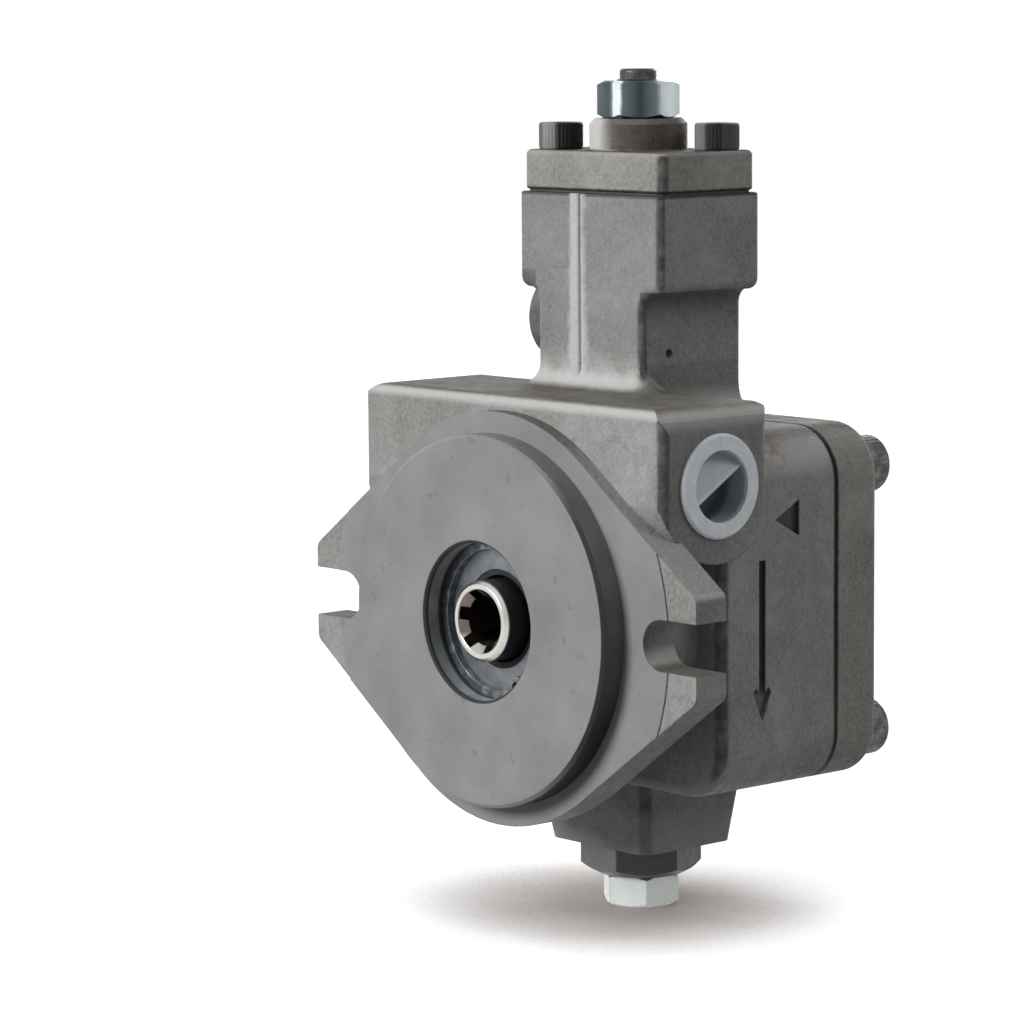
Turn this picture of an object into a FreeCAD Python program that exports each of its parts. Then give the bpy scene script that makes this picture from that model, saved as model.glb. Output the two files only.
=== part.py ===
import FreeCAD, Part
import math
import os

# Variable vane pump with a pressure compensator. Sizes are in mm.
# The shaft turns on the Y axis and the flange's mounting face lies at Y = 0, facing -Y. Z is up.
# The inlet is on the +X side, the outlet on the -X side, and the compensator stands on top.

V = FreeCAD.Vector

# Mounting flange: two bolts on a 106.4 mm line, and a round pilot
PILOT_R = 41.275
PILOT_HEIGHT = 6.0
PILOT_CHAMFER = 0.8
FLANGE_R = 46.0
FLANGE_THICKNESS = 9.0
FLANGE_BEVEL = 0.6
EAR_X = 63.0
EAR_HALF_HEIGHT = 11.0
EAR_CORNER_R = 2.5
SLOT_R = 5.55
SLOT_X = 52.6
TURNED_R = 54.8
TURNED_STEP = 0.25

# Casting: neck, main block and port block
NECK_R = 39.0
BLOCK_HALF_WIDTH = 46.0
BLOCK_TOP = 41.3
BLOCK_BOTTOM = -38.5
BLOCK_TOP_R = 12.0
BLOCK_BOTTOM_R = 12.0
BLOCK_FRONT_Y = 24.0
BLOCK_EDGE_R = 3.0
SEAM_EDGE_R = 0.6
PORT_HALF_WIDTH = 49.5
PORT_FRONT_Y = 3.5
PORT_TOP = 49.2
PORT_TOP_R = 6.0
PORT_EDGE_R = 3.0
PORT_FRONT_CORNER_R = 2.5
PORT_BACK_CORNER_R = 5.0
PORT_Y = 20.0
PORT_Z = 32.0
PORT_BOSS_R = 16.9

# Ports
INLET_R = 9.3
INLET_DEPTH = 16.0
OUTLET_R = 7.475
OUTLET_DEPTH = 14.0
PORT_RIM = 1.2
PORT_CORE_R = 7.0
PORT_CORE_X = 25.0
DUCT_R = 6.0
DUCT_Z = 6.0
KIDNEY_WIDTH = 5.0
KIDNEY_INSET = 0.5
KIDNEY_HALF_DEG = 44.0
DRAIN_R = 5.9
DRAIN_BOSS_R = 10.4
DRAIN_BOSS_X = -25.6
DRAIN_Z = 63.5

# Tower that holds the compensator
TOWER_OFFSET = 1.6
TOWER_HALF_DEPTH = 15.6
NECK_HALF_WIDTH = 17.3
FLARE_HALF_WIDTH = 23.3
FLARE_Z = 71.0
FLARE_UNDER_R = 3.4
TOWER_TOP = 92.6
TOWER_CORNER_R = 2.0
FLARE_LEDGE_R = 2.4
FOOT_R = 9.0
FRONT_FOOT_R = 5.0
FOOT_SINK = 3.0
FOOT_FADE = 5.0
FOOT_END_R = 0.5
PIN_HOLE_INSET = 7.2
PIN_HOLE_Z = 57.5
PIN_HOLE_R = 1.0
PIN_HOLE_DEPTH = 3.0
RIDGE_X = -4.0
RIDGE_WIDTH = 3.0
RIDGE_HEIGHT = 0.6
CHAMBER_R = 11.0
CHAMBER_FLOOR = 48.0

# Boss under the block
BOSS_BOTTOM = -55.2
BOSS_HALF_WIDTH = 16.0
BOSS_HALF_DEPTH = 13.8
BOSS_FLARE = 3.0
BOSS_BACK_FLARE = 1.8
BOSS_CORNER_R = 3.0

# Marks on the right side of the block
ARROW_Y = 36.7
ARROW_TOP = 14.0
ARROW_BOTTOM = -21.5
ARROW_STROKE = 2.0
ARROW_HEAD = (2.8, 6.5)
ARROW_DEPTH = 1.2
MARK_Y = 45.6
MARK_Z = 22.5
MARK_SIZE = 5.0
MARK_TAIL = 2.5
MARK_HALF_HEIGHT = 4.0

# Pump chamber
CAVITY_R = 34.5
CAVITY_Y = 27.5
PLATE_THICKNESS = 5.0
PLATE_GROOVE = 1.5
RING_WIDTH = 18.8
RING_WALL = 6.0
RING_SIDE_CUT = 1.0
RING_TOP_CUT = 0.5
RING_TRAVEL = 2.5
ROTOR_TIP_GAP = 0.2
ROTOR_WEB = 3.9
VANE_COUNT = 11
VANE_THICKNESS = 2.0
VANE_STANDS_OUT = 0.1
VANE_FIRST_DEG = 106.364
VANE_EDGE_R = 0.5
UNDER_VANE_R = 1.3
SIDE_GAP = 0.02
RUNNING_GAP = 0.05
THREAD_GAP = 0.03
PLATE_BORE_GAP = 0.4
GUIDE_THICKNESS = 4.5
GUIDE_HALF_HEIGHT = 8.0
GUIDE_INSET = 1.5
DOWEL_R = 1.5
DOWEL_LENGTH = 8.0
DOWEL_X = 10.0
DOWEL_INSET = 6.5

# Shaft, bushes and seal
SHAFT_FRONT_Y = -5.0
SHAFT_END_INSET = 2.1
SHAFT_R = 9.0
SHAFT_EDGE = 0.8
JOURNAL_R = 10.0
JOURNAL_Y = 9.5
SPLINE_IN_R = 5.5
SPLINE_OUT_R = 7.0
SPLINE_WIDTH = 3.0
SPLINE_COUNT = 6
SPLINE_FIRST_DEG = 49.0
SPLINE_DEPTH = 24.0
SPLINE_LEAD = 0.2
KEY_WIDTH = 4.0
KEY_IN_R = 6.8
KEY_OUT_R = 10.8
KEY_LENGTH = 16.0
SNAP_THICKNESS = 1.16
SNAP_OUT_R = 10.7
SNAP_GROOVE = 0.7
SNAP_PLAY = 0.15
FRONT_BUSH_R = 11.5
FRONT_BUSH_Y = (10.5, 26.5)
REAR_BUSH_R = 11.0
REAR_BUSH_INSET = 1.0
BUSH_WALL_GAP = 0.02
SEAL_BORE_R = 17.5
SEAL_MOUTH = 0.6
SEAL_WALL = 1.4
SEAL_LIP_R = 11.0
GARTER_R = 10.75
GARTER_WIRE_R = 0.55
GARTER_Y = 5.2
SEAL_FRONT_Y = 1.0
SEAL_BACK_Y = 8.0
CIRCLIP_Y = (-0.7, 0.9)
CIRCLIP_OUT_R = 18.5
CIRCLIP_IN_R = 15.7
CIRCLIP_LUG_R = 2.4
CIRCLIP_HOLE_R = 1.1
CIRCLIP_LUG_DEG = (-32.0, -64.0)

# Rear cover
SPIGOT_LENGTH = 3.5
COVER_THICKNESS = 13.8
COVER_EDGE_R = 2.5
COVER_BOSS_R = 19.0
COVER_BOSS_HEIGHT = 3.0
COVER_BOSS_BEVEL = 1.0
COVER_SCREW_X = 35.5
COVER_SCREW_Z = (31.0, -29.0)
M8_R = 4.0
M8_HEAD_R = 6.5
M8_HEAD = 8.0
M8_REACH = 16.0
M8_SOCKET = 6.0
M8_PASS_GAP = 0.4
HEAD_EDGE_SHARE = 0.1
HEAD_SOCKET_SHARE = 0.55
HEAD_SOCKET_DEG = 20.0
HOLE_SPARE = 2.0
O_RING_R = 0.95
SHAFT_END_ROOM = 1.2

# Compensator: piston, spring, seat, screw, cap
PISTON_PLATE_GAP = 0.1
PISTON_HEAD_Z = (51.0, 54.0)
PISTON_HEAD_R = 10.4
STEM_EDGE = 0.6
SPIGOT_R = 5.0
SPIGOT_HEIGHT = 4.0
SPIGOT_EDGE = 1.0
SPRING_WIRE_R = 1.5
SPRING_R = 7.3
SPRING_TURNS = 5.5
SEAT_LENGTH = 8.0
SEAT_INSET = 4.6
SEAT_POCKET = 2.0
SEAT_POCKET_GAP = 0.3
SEAT_EDGE = 0.5
SCREW_R = 5.0
SCREW_EDGE = 0.9
SCREW_END = 2.6
GASKET_THICKNESS = 0.5
GASKET_INSET = 0.5
CAP_THICKNESS = 8.9
CAP_HALF_WIDTH = 22.9
CAP_HALF_DEPTH = 14.6
CAP_CORNER_R = 2.5
CAP_EDGE_R = 1.2
CAP_BOSS_R = 11.0
CAP_BOSS_HEIGHT = 7.0
NUT_FLATS = 16.0
HEX_TURNED = 0.4
HEX_CORNER_DEG = 30.0
PLUG_HEX_TURNED = 1.8
NUT_HEIGHT = 8.4
TOP_NUT_TURN_DEG = 48.5
CAP_SCREW_AT = (17.0, 8.0)
M6_R = 3.0
M6_HEAD_R = 5.0
M6_HEAD = 6.0
M6_REACH = 12.0
M6_SOCKET = 5.0
M6_PASS_GAP = 0.3

# Flow adjuster under the boss
PLUNGER_R = 6.5
PLUNGER_EDGE = 0.6
PLUNGER_BOTTOM = -43.0
PLUG_BORE_TOP = -45.0
PLUG_R = 9.0
PLUG_EDGE = 0.8
PLUG_SEAL_R = 9.5
PLUG_SEAL_ROOM = 1.0
PLUG_SEAL_WIRE_R = 0.85
PLUG_SEAL_DEPTH = 1.9
PLUG_FLATS = 24.0
PLUG_HEX_BOTTOM = -62.5
PLUG_TURN_DEG = 52.7
LOW_NUT_BOTTOM = -69.8
LOW_NUT_TURN_DEG = 24.3
FLOW_SCREW_BOTTOM = -69.3
SOCKET_FLATS = 5.0
SOCKET_DEPTH = 5.0
SOCKET_TURN_DEG = 10.0

# Plastic plug in the inlet
CLOSER_FLANGE_R = 11.4
CLOSER_FLANGE = 1.1
CLOSER_RECESS_R = 7.8
CLOSER_RECESS = 9.0
CLOSER_LENGTH = 12.0
CLOSER_EDGE = 0.5
CLOSER_SHELF = (0.9, 5.0)
CLOSER_TURN_DEG = -58.5
CLOSER_GAP = 0.06

RING_SIDE_FLAT = CAVITY_R - GUIDE_THICKNESS
RING_OUT_R = RING_SIDE_FLAT + RING_SIDE_CUT
RING_TOP_FLAT = RING_OUT_R - RING_TOP_CUT
RING_IN_R = RING_OUT_R - RING_WALL
ROTOR_R = RING_IN_R - RING_TRAVEL - ROTOR_TIP_GAP
VANE_TIP_R = ROTOR_R + VANE_STANDS_OUT
VANE_FOOT_R = SHAFT_R + ROTOR_WEB
KIDNEY_OUT_R = RING_IN_R - KIDNEY_INSET
KIDNEY_IN_R = KIDNEY_OUT_R - KIDNEY_WIDTH
KIDNEY_MIDDLE_R = (KIDNEY_IN_R + KIDNEY_OUT_R) / 2
RING_Y0 = CAVITY_Y + PLATE_THICKNESS
RING_Y1 = RING_Y0 + RING_WIDTH
SPIGOT_Y = RING_Y1 + PLATE_THICKNESS
SEAM_Y = SPIGOT_Y + SPIGOT_LENGTH
COVER_BACK_Y = SEAM_Y + COVER_THICKNESS
SHAFT_END_Y = COVER_BACK_Y - SHAFT_END_INSET
TOWER_Y = (RING_Y0 + RING_Y1) / 2 + TOWER_OFFSET
STEM_R = RING_Y1 - TOWER_Y - PISTON_PLATE_GAP
SEAT_TOP = TOWER_TOP - SEAT_INSET
SEAT_Z = (SEAT_TOP - SEAT_LENGTH, SEAT_TOP)
SCREW_TIP_Z = SEAT_TOP - SEAT_POCKET
CAP_BOTTOM = TOWER_TOP + GASKET_THICKNESS
CAP_TOP = CAP_BOTTOM + CAP_THICKNESS
CAP_BOSS_TOP = CAP_TOP + CAP_BOSS_HEIGHT
NUT_TOP = CAP_BOSS_TOP + NUT_HEIGHT
SCREW_TOP = NUT_TOP + SCREW_END


def point(axis, along, a, b):
    """A point at a, b across an axis and at the stated distance along it."""
    if axis == "x":
        return V(along, a, b)
    if axis == "y":
        return V(a, along, b)
    return V(a, b, along)


def outline(axis, along, corners):
    """A closed wire through corners (a, b, radius), with the corners rounded."""
    flat = [V(a, b, 0) for a, b, _ in corners]
    ends = []
    for i, (_, _, radius) in enumerate(corners):
        here = flat[i]
        back = (flat[i - 1] - here).normalize()
        ahead = (flat[(i + 1) % len(flat)] - here).normalize()
        if radius == 0:
            ends.append((here, None, here))
            continue
        half = back.getAngle(ahead) / 2
        reach = radius / math.tan(half)
        centre = here + (back + ahead).normalize() * (radius / math.sin(half))
        middle = centre + (here - centre).normalize() * radius
        ends.append((here + back * reach, middle, here + ahead * reach))
    edges = []
    for i, (first, middle, last) in enumerate(ends):
        following = ends[(i + 1) % len(ends)][0]
        if middle is not None:
            arc = [point(axis, along, p.x, p.y) for p in (first, middle, last)]
            edges.append(Part.Arc(*arc).toShape())
        if (following - last).Length > 1e-6:
            start = point(axis, along, last.x, last.y)
            edges.append(Part.makeLine(start, point(axis, along, following.x, following.y)))
    return Part.Wire(edges)


def slab(axis, start, end, corners):
    """A plate with the given outline across an axis, from start to end along it."""
    face = Part.Face(outline(axis, start, corners))
    return face.extrude(point(axis, end - start, 0, 0))


def box_corners(a, b, radius=0):
    """The corners of a rectangle between two pairs of values."""
    return [(a[0], b[0], radius), (a[1], b[0], radius), (a[1], b[1], radius), (a[0], b[1], radius)]


def about(centre, half):
    """The pair of values at the stated distance on each side of a centre."""
    return (centre - half, centre + half)


def box(x, y, z):
    """A block between pairs of X, Y and Z values."""
    size = (x[1] - x[0], y[1] - y[0], z[1] - z[0])
    return Part.makeBox(*size, V(x[0], y[0], z[0]))


def rod(axis, centre, radius, start, end):
    """A cylinder on an axis through centre, between two distances along it."""
    base = point(axis, min(start, end), *centre)
    return Part.makeCylinder(radius, abs(end - start), base, point(axis, 1, 0, 0))


def tube(axis, centre, outer, inner, start, end):
    """A cylinder with a hole through it."""
    return rod(axis, centre, outer, start, end).cut(rod(axis, centre, inner, start, end))


def turned(axis, centre, profile):
    """A solid of revolution. The profile's points are (radius, distance along the axis)."""
    points = [point(axis, t, centre[0] + r, centre[1]) for r, t in profile]
    face = Part.Face(Part.makePolygon(points + points[:1]))
    return face.revolve(point(axis, 0, *centre), point(axis, 1, 0, 0), 360)


def o_ring(axis, centre, radius, section_r, along):
    """A round rubber ring."""
    return Part.makeTorus(radius, section_r, point(axis, along, *centre), point(axis, 1, 0, 0))


def spun(shape, degrees):
    """The shape turned about the shaft, from +X towards +Z."""
    copy = shape.copy()
    copy.rotate(V(0, 0, 0), V(0, -1, 0), degrees)
    return copy


def joined(shapes):
    """One solid out of several that touch."""
    return shapes[0].fuse(shapes[1:]).removeSplitter()


def rounded(shape, radius, wanted):
    """The shape with a radius on each edge whose ends and middle all pass the wanted test."""
    edges = []
    for edge in shape.Edges:
        middle = edge.valueAt((edge.FirstParameter + edge.LastParameter) / 2)
        if all(wanted(p) for p in [v.Point for v in edge.Vertexes] + [middle]):
            edges.append(edge)
    return shape.makeFillet(radius, edges)


def hexagon(centre, flats, bottom, top, turn):
    """An upright six-sided bar."""
    radius = flats / math.sqrt(3)
    corners = []
    for i in range(6):
        angle = math.radians(60 * i + turn)
        corners.append((centre[0] + radius * math.cos(angle), centre[1] + radius * math.sin(angle), 0))
    return slab("z", bottom, top, corners)


def hex_bar(centre, flats, bottom, top, turn, ends, turned_in):
    """A hexagon bar with its corners turned off at the ends that are named."""
    tip = flats / math.sqrt(3) + 0.1
    face = flats / 2 - turned_in
    drop = (tip - face) * math.tan(math.radians(HEX_CORNER_DEG))
    low = [(face, bottom), (tip, bottom + drop)] if "bottom" in ends else [(tip, bottom)]
    high = [(tip, top - drop), (face, top)] if "top" in ends else [(tip, top)]
    envelope = turned("z", centre, [(0, bottom)] + low + high + [(0, top)])
    return hexagon(centre, flats, bottom, top, turn).common(envelope)


def kidney(side, start, end):
    """A curved slot round the shaft, on the +X side for side 1 and the -X side for side -1."""
    band = tube("y", (0, 0), KIDNEY_OUT_R, KIDNEY_IN_R, start, end)
    reach = 2 * KIDNEY_OUT_R
    rise = reach * math.tan(math.radians(KIDNEY_HALF_DEG))
    wedge = slab("y", start, end, [(0, 0, 0), (side * reach, -rise, 0), (side * reach, rise, 0)])
    pieces = [band.common(wedge)]
    for sign in (-1, 1):
        angle = math.radians(sign * KIDNEY_HALF_DEG)
        centre = (side * KIDNEY_MIDDLE_R * math.cos(angle), KIDNEY_MIDDLE_R * math.sin(angle))
        pieces.append(rod("y", centre, KIDNEY_WIDTH / 2, start, end))
    return joined(pieces)


def ear_plate():
    """Both ears as one plate, with edges that run tangent into the round flange."""
    tip = math.hypot(EAR_X, EAR_HALF_HEIGHT)
    tangent = math.atan2(EAR_HALF_HEIGHT, EAR_X) + math.acos(FLANGE_R / tip)
    tx = FLANGE_R * math.cos(tangent)
    tz = FLANGE_R * math.sin(tangent)
    corners = []
    for sx, sz in ((1, -1), (1, 1), (-1, 1), (-1, -1)):
        pair = [(sx * tx, sz * tz, 0), (sx * EAR_X, sz * EAR_HALF_HEIGHT, EAR_CORNER_R)]
        corners += pair if sx * sz < 0 else pair[::-1]
    return slab("y", 0, FLANGE_THICKNESS, corners)


def flange():
    """Round flange with two open-slotted ears, and the pilot in front of it."""
    through = (-1, FLANGE_THICKNESS + 1)
    far = 2 * EAR_X
    tools = [tube("y", (0, 0), far, TURNED_R, 0, TURNED_STEP)]
    for sx in (-1, 1):
        tools.append(rod("y", (sx * SLOT_X, 0), SLOT_R, *through))
        tools.append(box(sorted((sx * SLOT_X, sx * far)), through, about(0, SLOT_R)))
    disc = turned(
        "y",
        (0, 0),
        [
            (0, 0),
            (FLANGE_R, 0),
            (FLANGE_R, FLANGE_THICKNESS - FLANGE_BEVEL),
            (FLANGE_R - FLANGE_BEVEL, FLANGE_THICKNESS),
            (0, FLANGE_THICKNESS),
        ],
    )
    pilot = turned(
        "y",
        (0, 0),
        [
            (0, FLANGE_THICKNESS),
            (PILOT_R, FLANGE_THICKNESS),
            (PILOT_R, PILOT_CHAMFER - PILOT_HEIGHT),
            (PILOT_R - PILOT_CHAMFER, -PILOT_HEIGHT),
            (0, -PILOT_HEIGHT),
        ],
    )
    return [disc.fuse(ear_plate()).cut(tools), pilot]


def port_block():
    """The bar across the top front that carries a port at each end, rounded below."""
    back_y = PORT_Y + PORT_BOSS_R
    width = about(0, PORT_HALF_WIDTH)
    section = [
        (PORT_FRONT_Y, PORT_Z, 0),
        (PORT_FRONT_Y, PORT_TOP, PORT_EDGE_R),
        (back_y, PORT_TOP, PORT_EDGE_R),
        (back_y, PORT_Z, 0),
    ]
    bar = slab("x", *width, section)
    bosses = rod("x", (PORT_Y, PORT_Z), PORT_BOSS_R, *width)
    front = [
        (width[0], 0, 0),
        (width[1], 0, 0),
        (width[1], PORT_TOP, PORT_TOP_R),
        (width[0], PORT_TOP, PORT_TOP_R),
    ]
    plan = [
        (width[0], PORT_FRONT_Y, PORT_FRONT_CORNER_R),
        (width[1], PORT_FRONT_Y, PORT_FRONT_CORNER_R),
        (width[1], back_y, PORT_BACK_CORNER_R),
        (width[0], back_y, PORT_BACK_CORNER_R),
    ]
    solid = joined([bar, bosses]).common(slab("y", 0, back_y + 1, front))
    return solid.common(slab("z", 0, PORT_TOP + 1, plan))


def tower_shape():
    """Square neck that widens to a head, with a curved foot on the block."""
    depth = about(TOWER_Y, TOWER_HALF_DEPTH)
    foot_z = BLOCK_TOP - FOOT_R / 3
    foot_x = NECK_HALF_WIDTH + 1.5 * FOOT_R
    right = [
        (foot_x, foot_z, 0),
        (foot_x, BLOCK_TOP, 0),
        (NECK_HALF_WIDTH, BLOCK_TOP, FOOT_R),
        (NECK_HALF_WIDTH, FLARE_Z, FLARE_UNDER_R),
        (FLARE_HALF_WIDTH, FLARE_Z, FLARE_LEDGE_R),
        (FLARE_HALF_WIDTH, TOWER_TOP, 0),
    ]
    left = [(-x, z, radius) for x, z, radius in reversed(right)]
    body = slab("y", *depth, right + left)

    def on_side(p):
        on_face = min(abs(p.y - depth[0]), abs(p.y - depth[1])) < 0.01
        return on_face and abs(p.x) < foot_x - 0.1

    def is_upright(p):
        return on_side(p) and abs(p.x) > NECK_HALF_WIDTH - 0.1

    body = rounded(body, TOWER_CORNER_R, is_upright)
    return rounded(body, SEAM_EDGE_R, lambda p: p.z > TOWER_TOP - 0.01)


def foot_wire(at, out, radius):
    """The section of a foot: from inside the wall at a point (x, y), out along its top curve."""
    def place(away, z):
        return V(at[0] + away * out[0], at[1] + away * out[1], z)

    low = PORT_TOP - FOOT_SINK
    high = PORT_TOP + radius
    near = radius * (1 - math.sqrt(0.5))
    corners = [place(0, high), place(-FOOT_SINK / 2, high), place(-FOOT_SINK / 2, low)]
    corners += [place(radius, low), place(radius, PORT_TOP)]
    edges = [Part.makeLine(a, b) for a, b in zip(corners, corners[1:])]
    edges.append(Part.Arc(corners[-1], place(near, PORT_TOP + near), corners[0]).toShape())
    return Part.Wire(edges)


def front_foot():
    """The foot in front of the tower. It runs round both corners and dies out along the sides."""
    side_x = NECK_HALF_WIDTH
    corner_x = side_x - TOWER_CORNER_R
    front_y = TOWER_Y - TOWER_HALF_DEPTH
    corner_y = front_y + TOWER_CORNER_R
    front = Part.Face(foot_wire((-corner_x, front_y), (0, -1), FRONT_FOOT_R))
    pieces = [front.extrude(V(2 * corner_x, 0, 0))]
    for sign in (-1, 1):
        start = Part.Face(foot_wire((sign * corner_x, front_y), (0, -1), FRONT_FOOT_R))
        axis = V(sign * corner_x, corner_y, 0)
        pieces.append(start.revolve(axis, V(0, 0, 1), sign * 90))
        full = foot_wire((sign * side_x, corner_y), (sign, 0), FRONT_FOOT_R)
        thin = foot_wire((sign * side_x, corner_y + FOOT_FADE), (sign, 0), FOOT_END_R)
        pieces.append(Part.makeLoft([full, thin], True, True))
    return pieces


def tower():
    """The tower with its front foot, the parting ridge and the drain boss."""
    front_y = TOWER_Y - TOWER_HALF_DEPTH
    ridge_y = (front_y - RIDGE_HEIGHT, front_y + 1)
    ridge_plan = box_corners(about(RIDGE_X, RIDGE_WIDTH / 2), ridge_y, RIDGE_HEIGHT)
    ridge = slab("z", BLOCK_TOP, TOWER_TOP, ridge_plan)
    drain = rod("x", (TOWER_Y, DRAIN_Z), DRAIN_BOSS_R, DRAIN_BOSS_X, 0)
    return [tower_shape(), ridge, drain] + front_foot()


def bottom_boss():
    """Tapered block under the body for the flow adjuster."""
    wires = []
    for z, extra, back in ((BOSS_BOTTOM, 0, 0), (BLOCK_BOTTOM + 2, BOSS_FLARE, BOSS_BACK_FLARE)):
        x = about(0, BOSS_HALF_WIDTH + extra)
        y = (TOWER_Y - BOSS_HALF_DEPTH - extra, TOWER_Y + BOSS_HALF_DEPTH + back)
        wires.append(outline("z", z, box_corners(x, y, BOSS_CORNER_R)))
    return Part.makeLoft(wires, True, True)


def block_corners():
    x = BLOCK_HALF_WIDTH
    return [
        (-x, BLOCK_BOTTOM, BLOCK_BOTTOM_R),
        (x, BLOCK_BOTTOM, BLOCK_BOTTOM_R),
        (x, BLOCK_TOP, BLOCK_TOP_R),
        (-x, BLOCK_TOP, BLOCK_TOP_R),
    ]


def main_block():
    """The block round the pump chamber, with its front edge rounded."""
    block = slab("y", BLOCK_FRONT_Y, SEAM_Y, block_corners())
    block = rounded(block, BLOCK_EDGE_R, lambda p: p.y < BLOCK_FRONT_Y + 0.01)
    return rounded(block, SEAM_EDGE_R, lambda p: p.y > SEAM_Y - 0.01)


def side_marks():
    """Recessed direction arrow and a small triangle that shows the inlet side."""
    depth = (BLOCK_HALF_WIDTH - ARROW_DEPTH, BLOCK_HALF_WIDTH + 1)
    half = ARROW_STROKE / 2
    wide, high = ARROW_HEAD
    tip = ARROW_BOTTOM
    marks = [box(depth, about(ARROW_Y, half), (tip + ARROW_STROKE, ARROW_TOP))]
    for sign in (-1, 1):
        barb = [
            (ARROW_Y, tip, 0),
            (ARROW_Y + sign * wide, tip + high, 0),
            (ARROW_Y + sign * (wide - half), tip + high + half, 0),
            (ARROW_Y, tip + 2.5 * ARROW_STROKE, 0),
        ]
        marks.append(slab("x", *depth, barb))
    triangle = [
        (MARK_Y - MARK_SIZE, MARK_Z, 0),
        (MARK_Y + MARK_TAIL, MARK_Z - MARK_HALF_HEIGHT, 0),
        (MARK_Y + MARK_TAIL, MARK_Z + MARK_HALF_HEIGHT, 0),
    ]
    return marks + [slab("x", *depth, triangle)]


def flow_ducts():
    """Port bores and the ducts from them to the kidney slots, on both sides."""
    at = (PORT_Y, PORT_Z)
    tools = [rod("x", (TOWER_Y, DRAIN_Z), DRAIN_R, DRAIN_BOSS_X - 1, 0)]
    for side, radius, depth in ((1, INLET_R, INLET_DEPTH), (-1, OUTLET_R, OUTLET_DEPTH)):
        face = side * PORT_HALF_WIDTH
        tools.append(rod("x", at, radius, face + side, face - side * depth))
        tools.append(rod("x", at, PORT_CORE_R, face, side * PORT_CORE_X))
        rim = V(face - side * PORT_RIM, *at)
        tools.append(Part.makeCone(radius, radius + 2 * PORT_RIM, 2 * PORT_RIM, rim, V(side, 0, 0)))
        top = V(side * PORT_CORE_X, *at)
        low = V(side * KIDNEY_MIDDLE_R, PORT_Y, DUCT_Z)
        tools.append(Part.makeCylinder(DUCT_R, (low - top).Length, top, low - top))
        tools += [Part.makeSphere(DUCT_R, end) for end in (top, low)]
        tools.append(kidney(side, PORT_Y, CAVITY_Y + 1))
    return tools


def shaft_bores():
    """Seal seat with its lead-in, circlip groove, bush bore and pump chamber."""
    mouth = SEAL_MOUTH
    seal = turned(
        "y",
        (0, 0),
        [
            (0, -PILOT_HEIGHT - 1),
            (SEAL_BORE_R + mouth + 1, -PILOT_HEIGHT - 1),
            (SEAL_BORE_R, -PILOT_HEIGHT + mouth),
            (SEAL_BORE_R, SEAL_BACK_Y),
            (0, SEAL_BACK_Y),
        ],
    )
    groove_y = (CIRCLIP_Y[0] - RUNNING_GAP, CIRCLIP_Y[1] + RUNNING_GAP)
    groove = rod("y", (0, 0), CIRCLIP_OUT_R + 2 * RUNNING_GAP, *groove_y)
    bush = rod("y", (0, 0), FRONT_BUSH_R, 0, CAVITY_Y + 1)
    cavity = rod("y", (0, 0), CAVITY_R, CAVITY_Y, SEAM_Y + 1)
    return [seal, groove, bush, cavity]


def upright_bores():
    """Bores for the compensator above the chamber and for the flow adjuster below it."""
    centre = (0, TOWER_Y)
    return [
        rod("z", centre, STEM_R + RUNNING_GAP, 0, CHAMBER_FLOOR + 1),
        rod("z", centre, CHAMBER_R, CHAMBER_FLOOR, TOWER_TOP + 1),
        rod("z", centre, PLUNGER_R + RUNNING_GAP, 0, PLUG_BORE_TOP),
        rod("z", centre, PLUG_R, PLUG_BORE_TOP, BOSS_BOTTOM - 1),
        rod("z", centre, PLUG_SEAL_R + PLUG_SEAL_ROOM, BOSS_BOTTOM + PLUG_SEAL_DEPTH, BOSS_BOTTOM - 1),
    ]


def cover_screw_places():
    return [(sx * COVER_SCREW_X, z) for sx in (-1, 1) for z in COVER_SCREW_Z]


def cap_screw_places():
    """The cap's two screws, at opposite corners of the tower."""
    x, y = CAP_SCREW_AT
    return [(sign * x, TOWER_Y + sign * y) for sign in (-1, 1)]


def screw_holes():
    low = TOWER_TOP - M6_REACH - HOLE_SPARE
    front = SEAM_Y - M8_REACH - HOLE_SPARE
    tools = [rod("z", at, M6_R, low, TOWER_TOP + 1) for at in cap_screw_places()]
    tools += [rod("y", at, M8_R, front, SEAM_Y + 1) for at in cover_screw_places()]
    return tools


def dowels(radius, shortened):
    """Two pins from the body into the front plate, and two from the cover into the rear plate."""
    x, z = (DOWEL_X, CAVITY_R - DOWEL_INSET)
    pins = []
    for middle in (CAVITY_Y, SPIGOT_Y):
        start, end = about(middle, DOWEL_LENGTH / 2 - shortened)
        pins += [rod("y", at, radius, start, end) for at in ((x, z), (-x, -z))]
    return pins


def body_casting():
    neck = rod("y", (0, 0), NECK_R, FLANGE_THICKNESS / 2, BLOCK_FRONT_Y + BLOCK_EDGE_R)
    solid = joined([main_block(), neck, port_block(), bottom_boss()] + flange() + tower())
    side = NECK_HALF_WIDTH
    pin_at = (TOWER_Y - PIN_HOLE_INSET, PIN_HOLE_Z)
    pin_hole = rod("x", pin_at, PIN_HOLE_R, side - PIN_HOLE_DEPTH, side + 1)
    tools = flow_ducts() + shaft_bores() + upright_bores() + screw_holes()
    return solid.cut(tools + side_marks() + dowels(DOWEL_R, 0) + [pin_hole])


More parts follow.
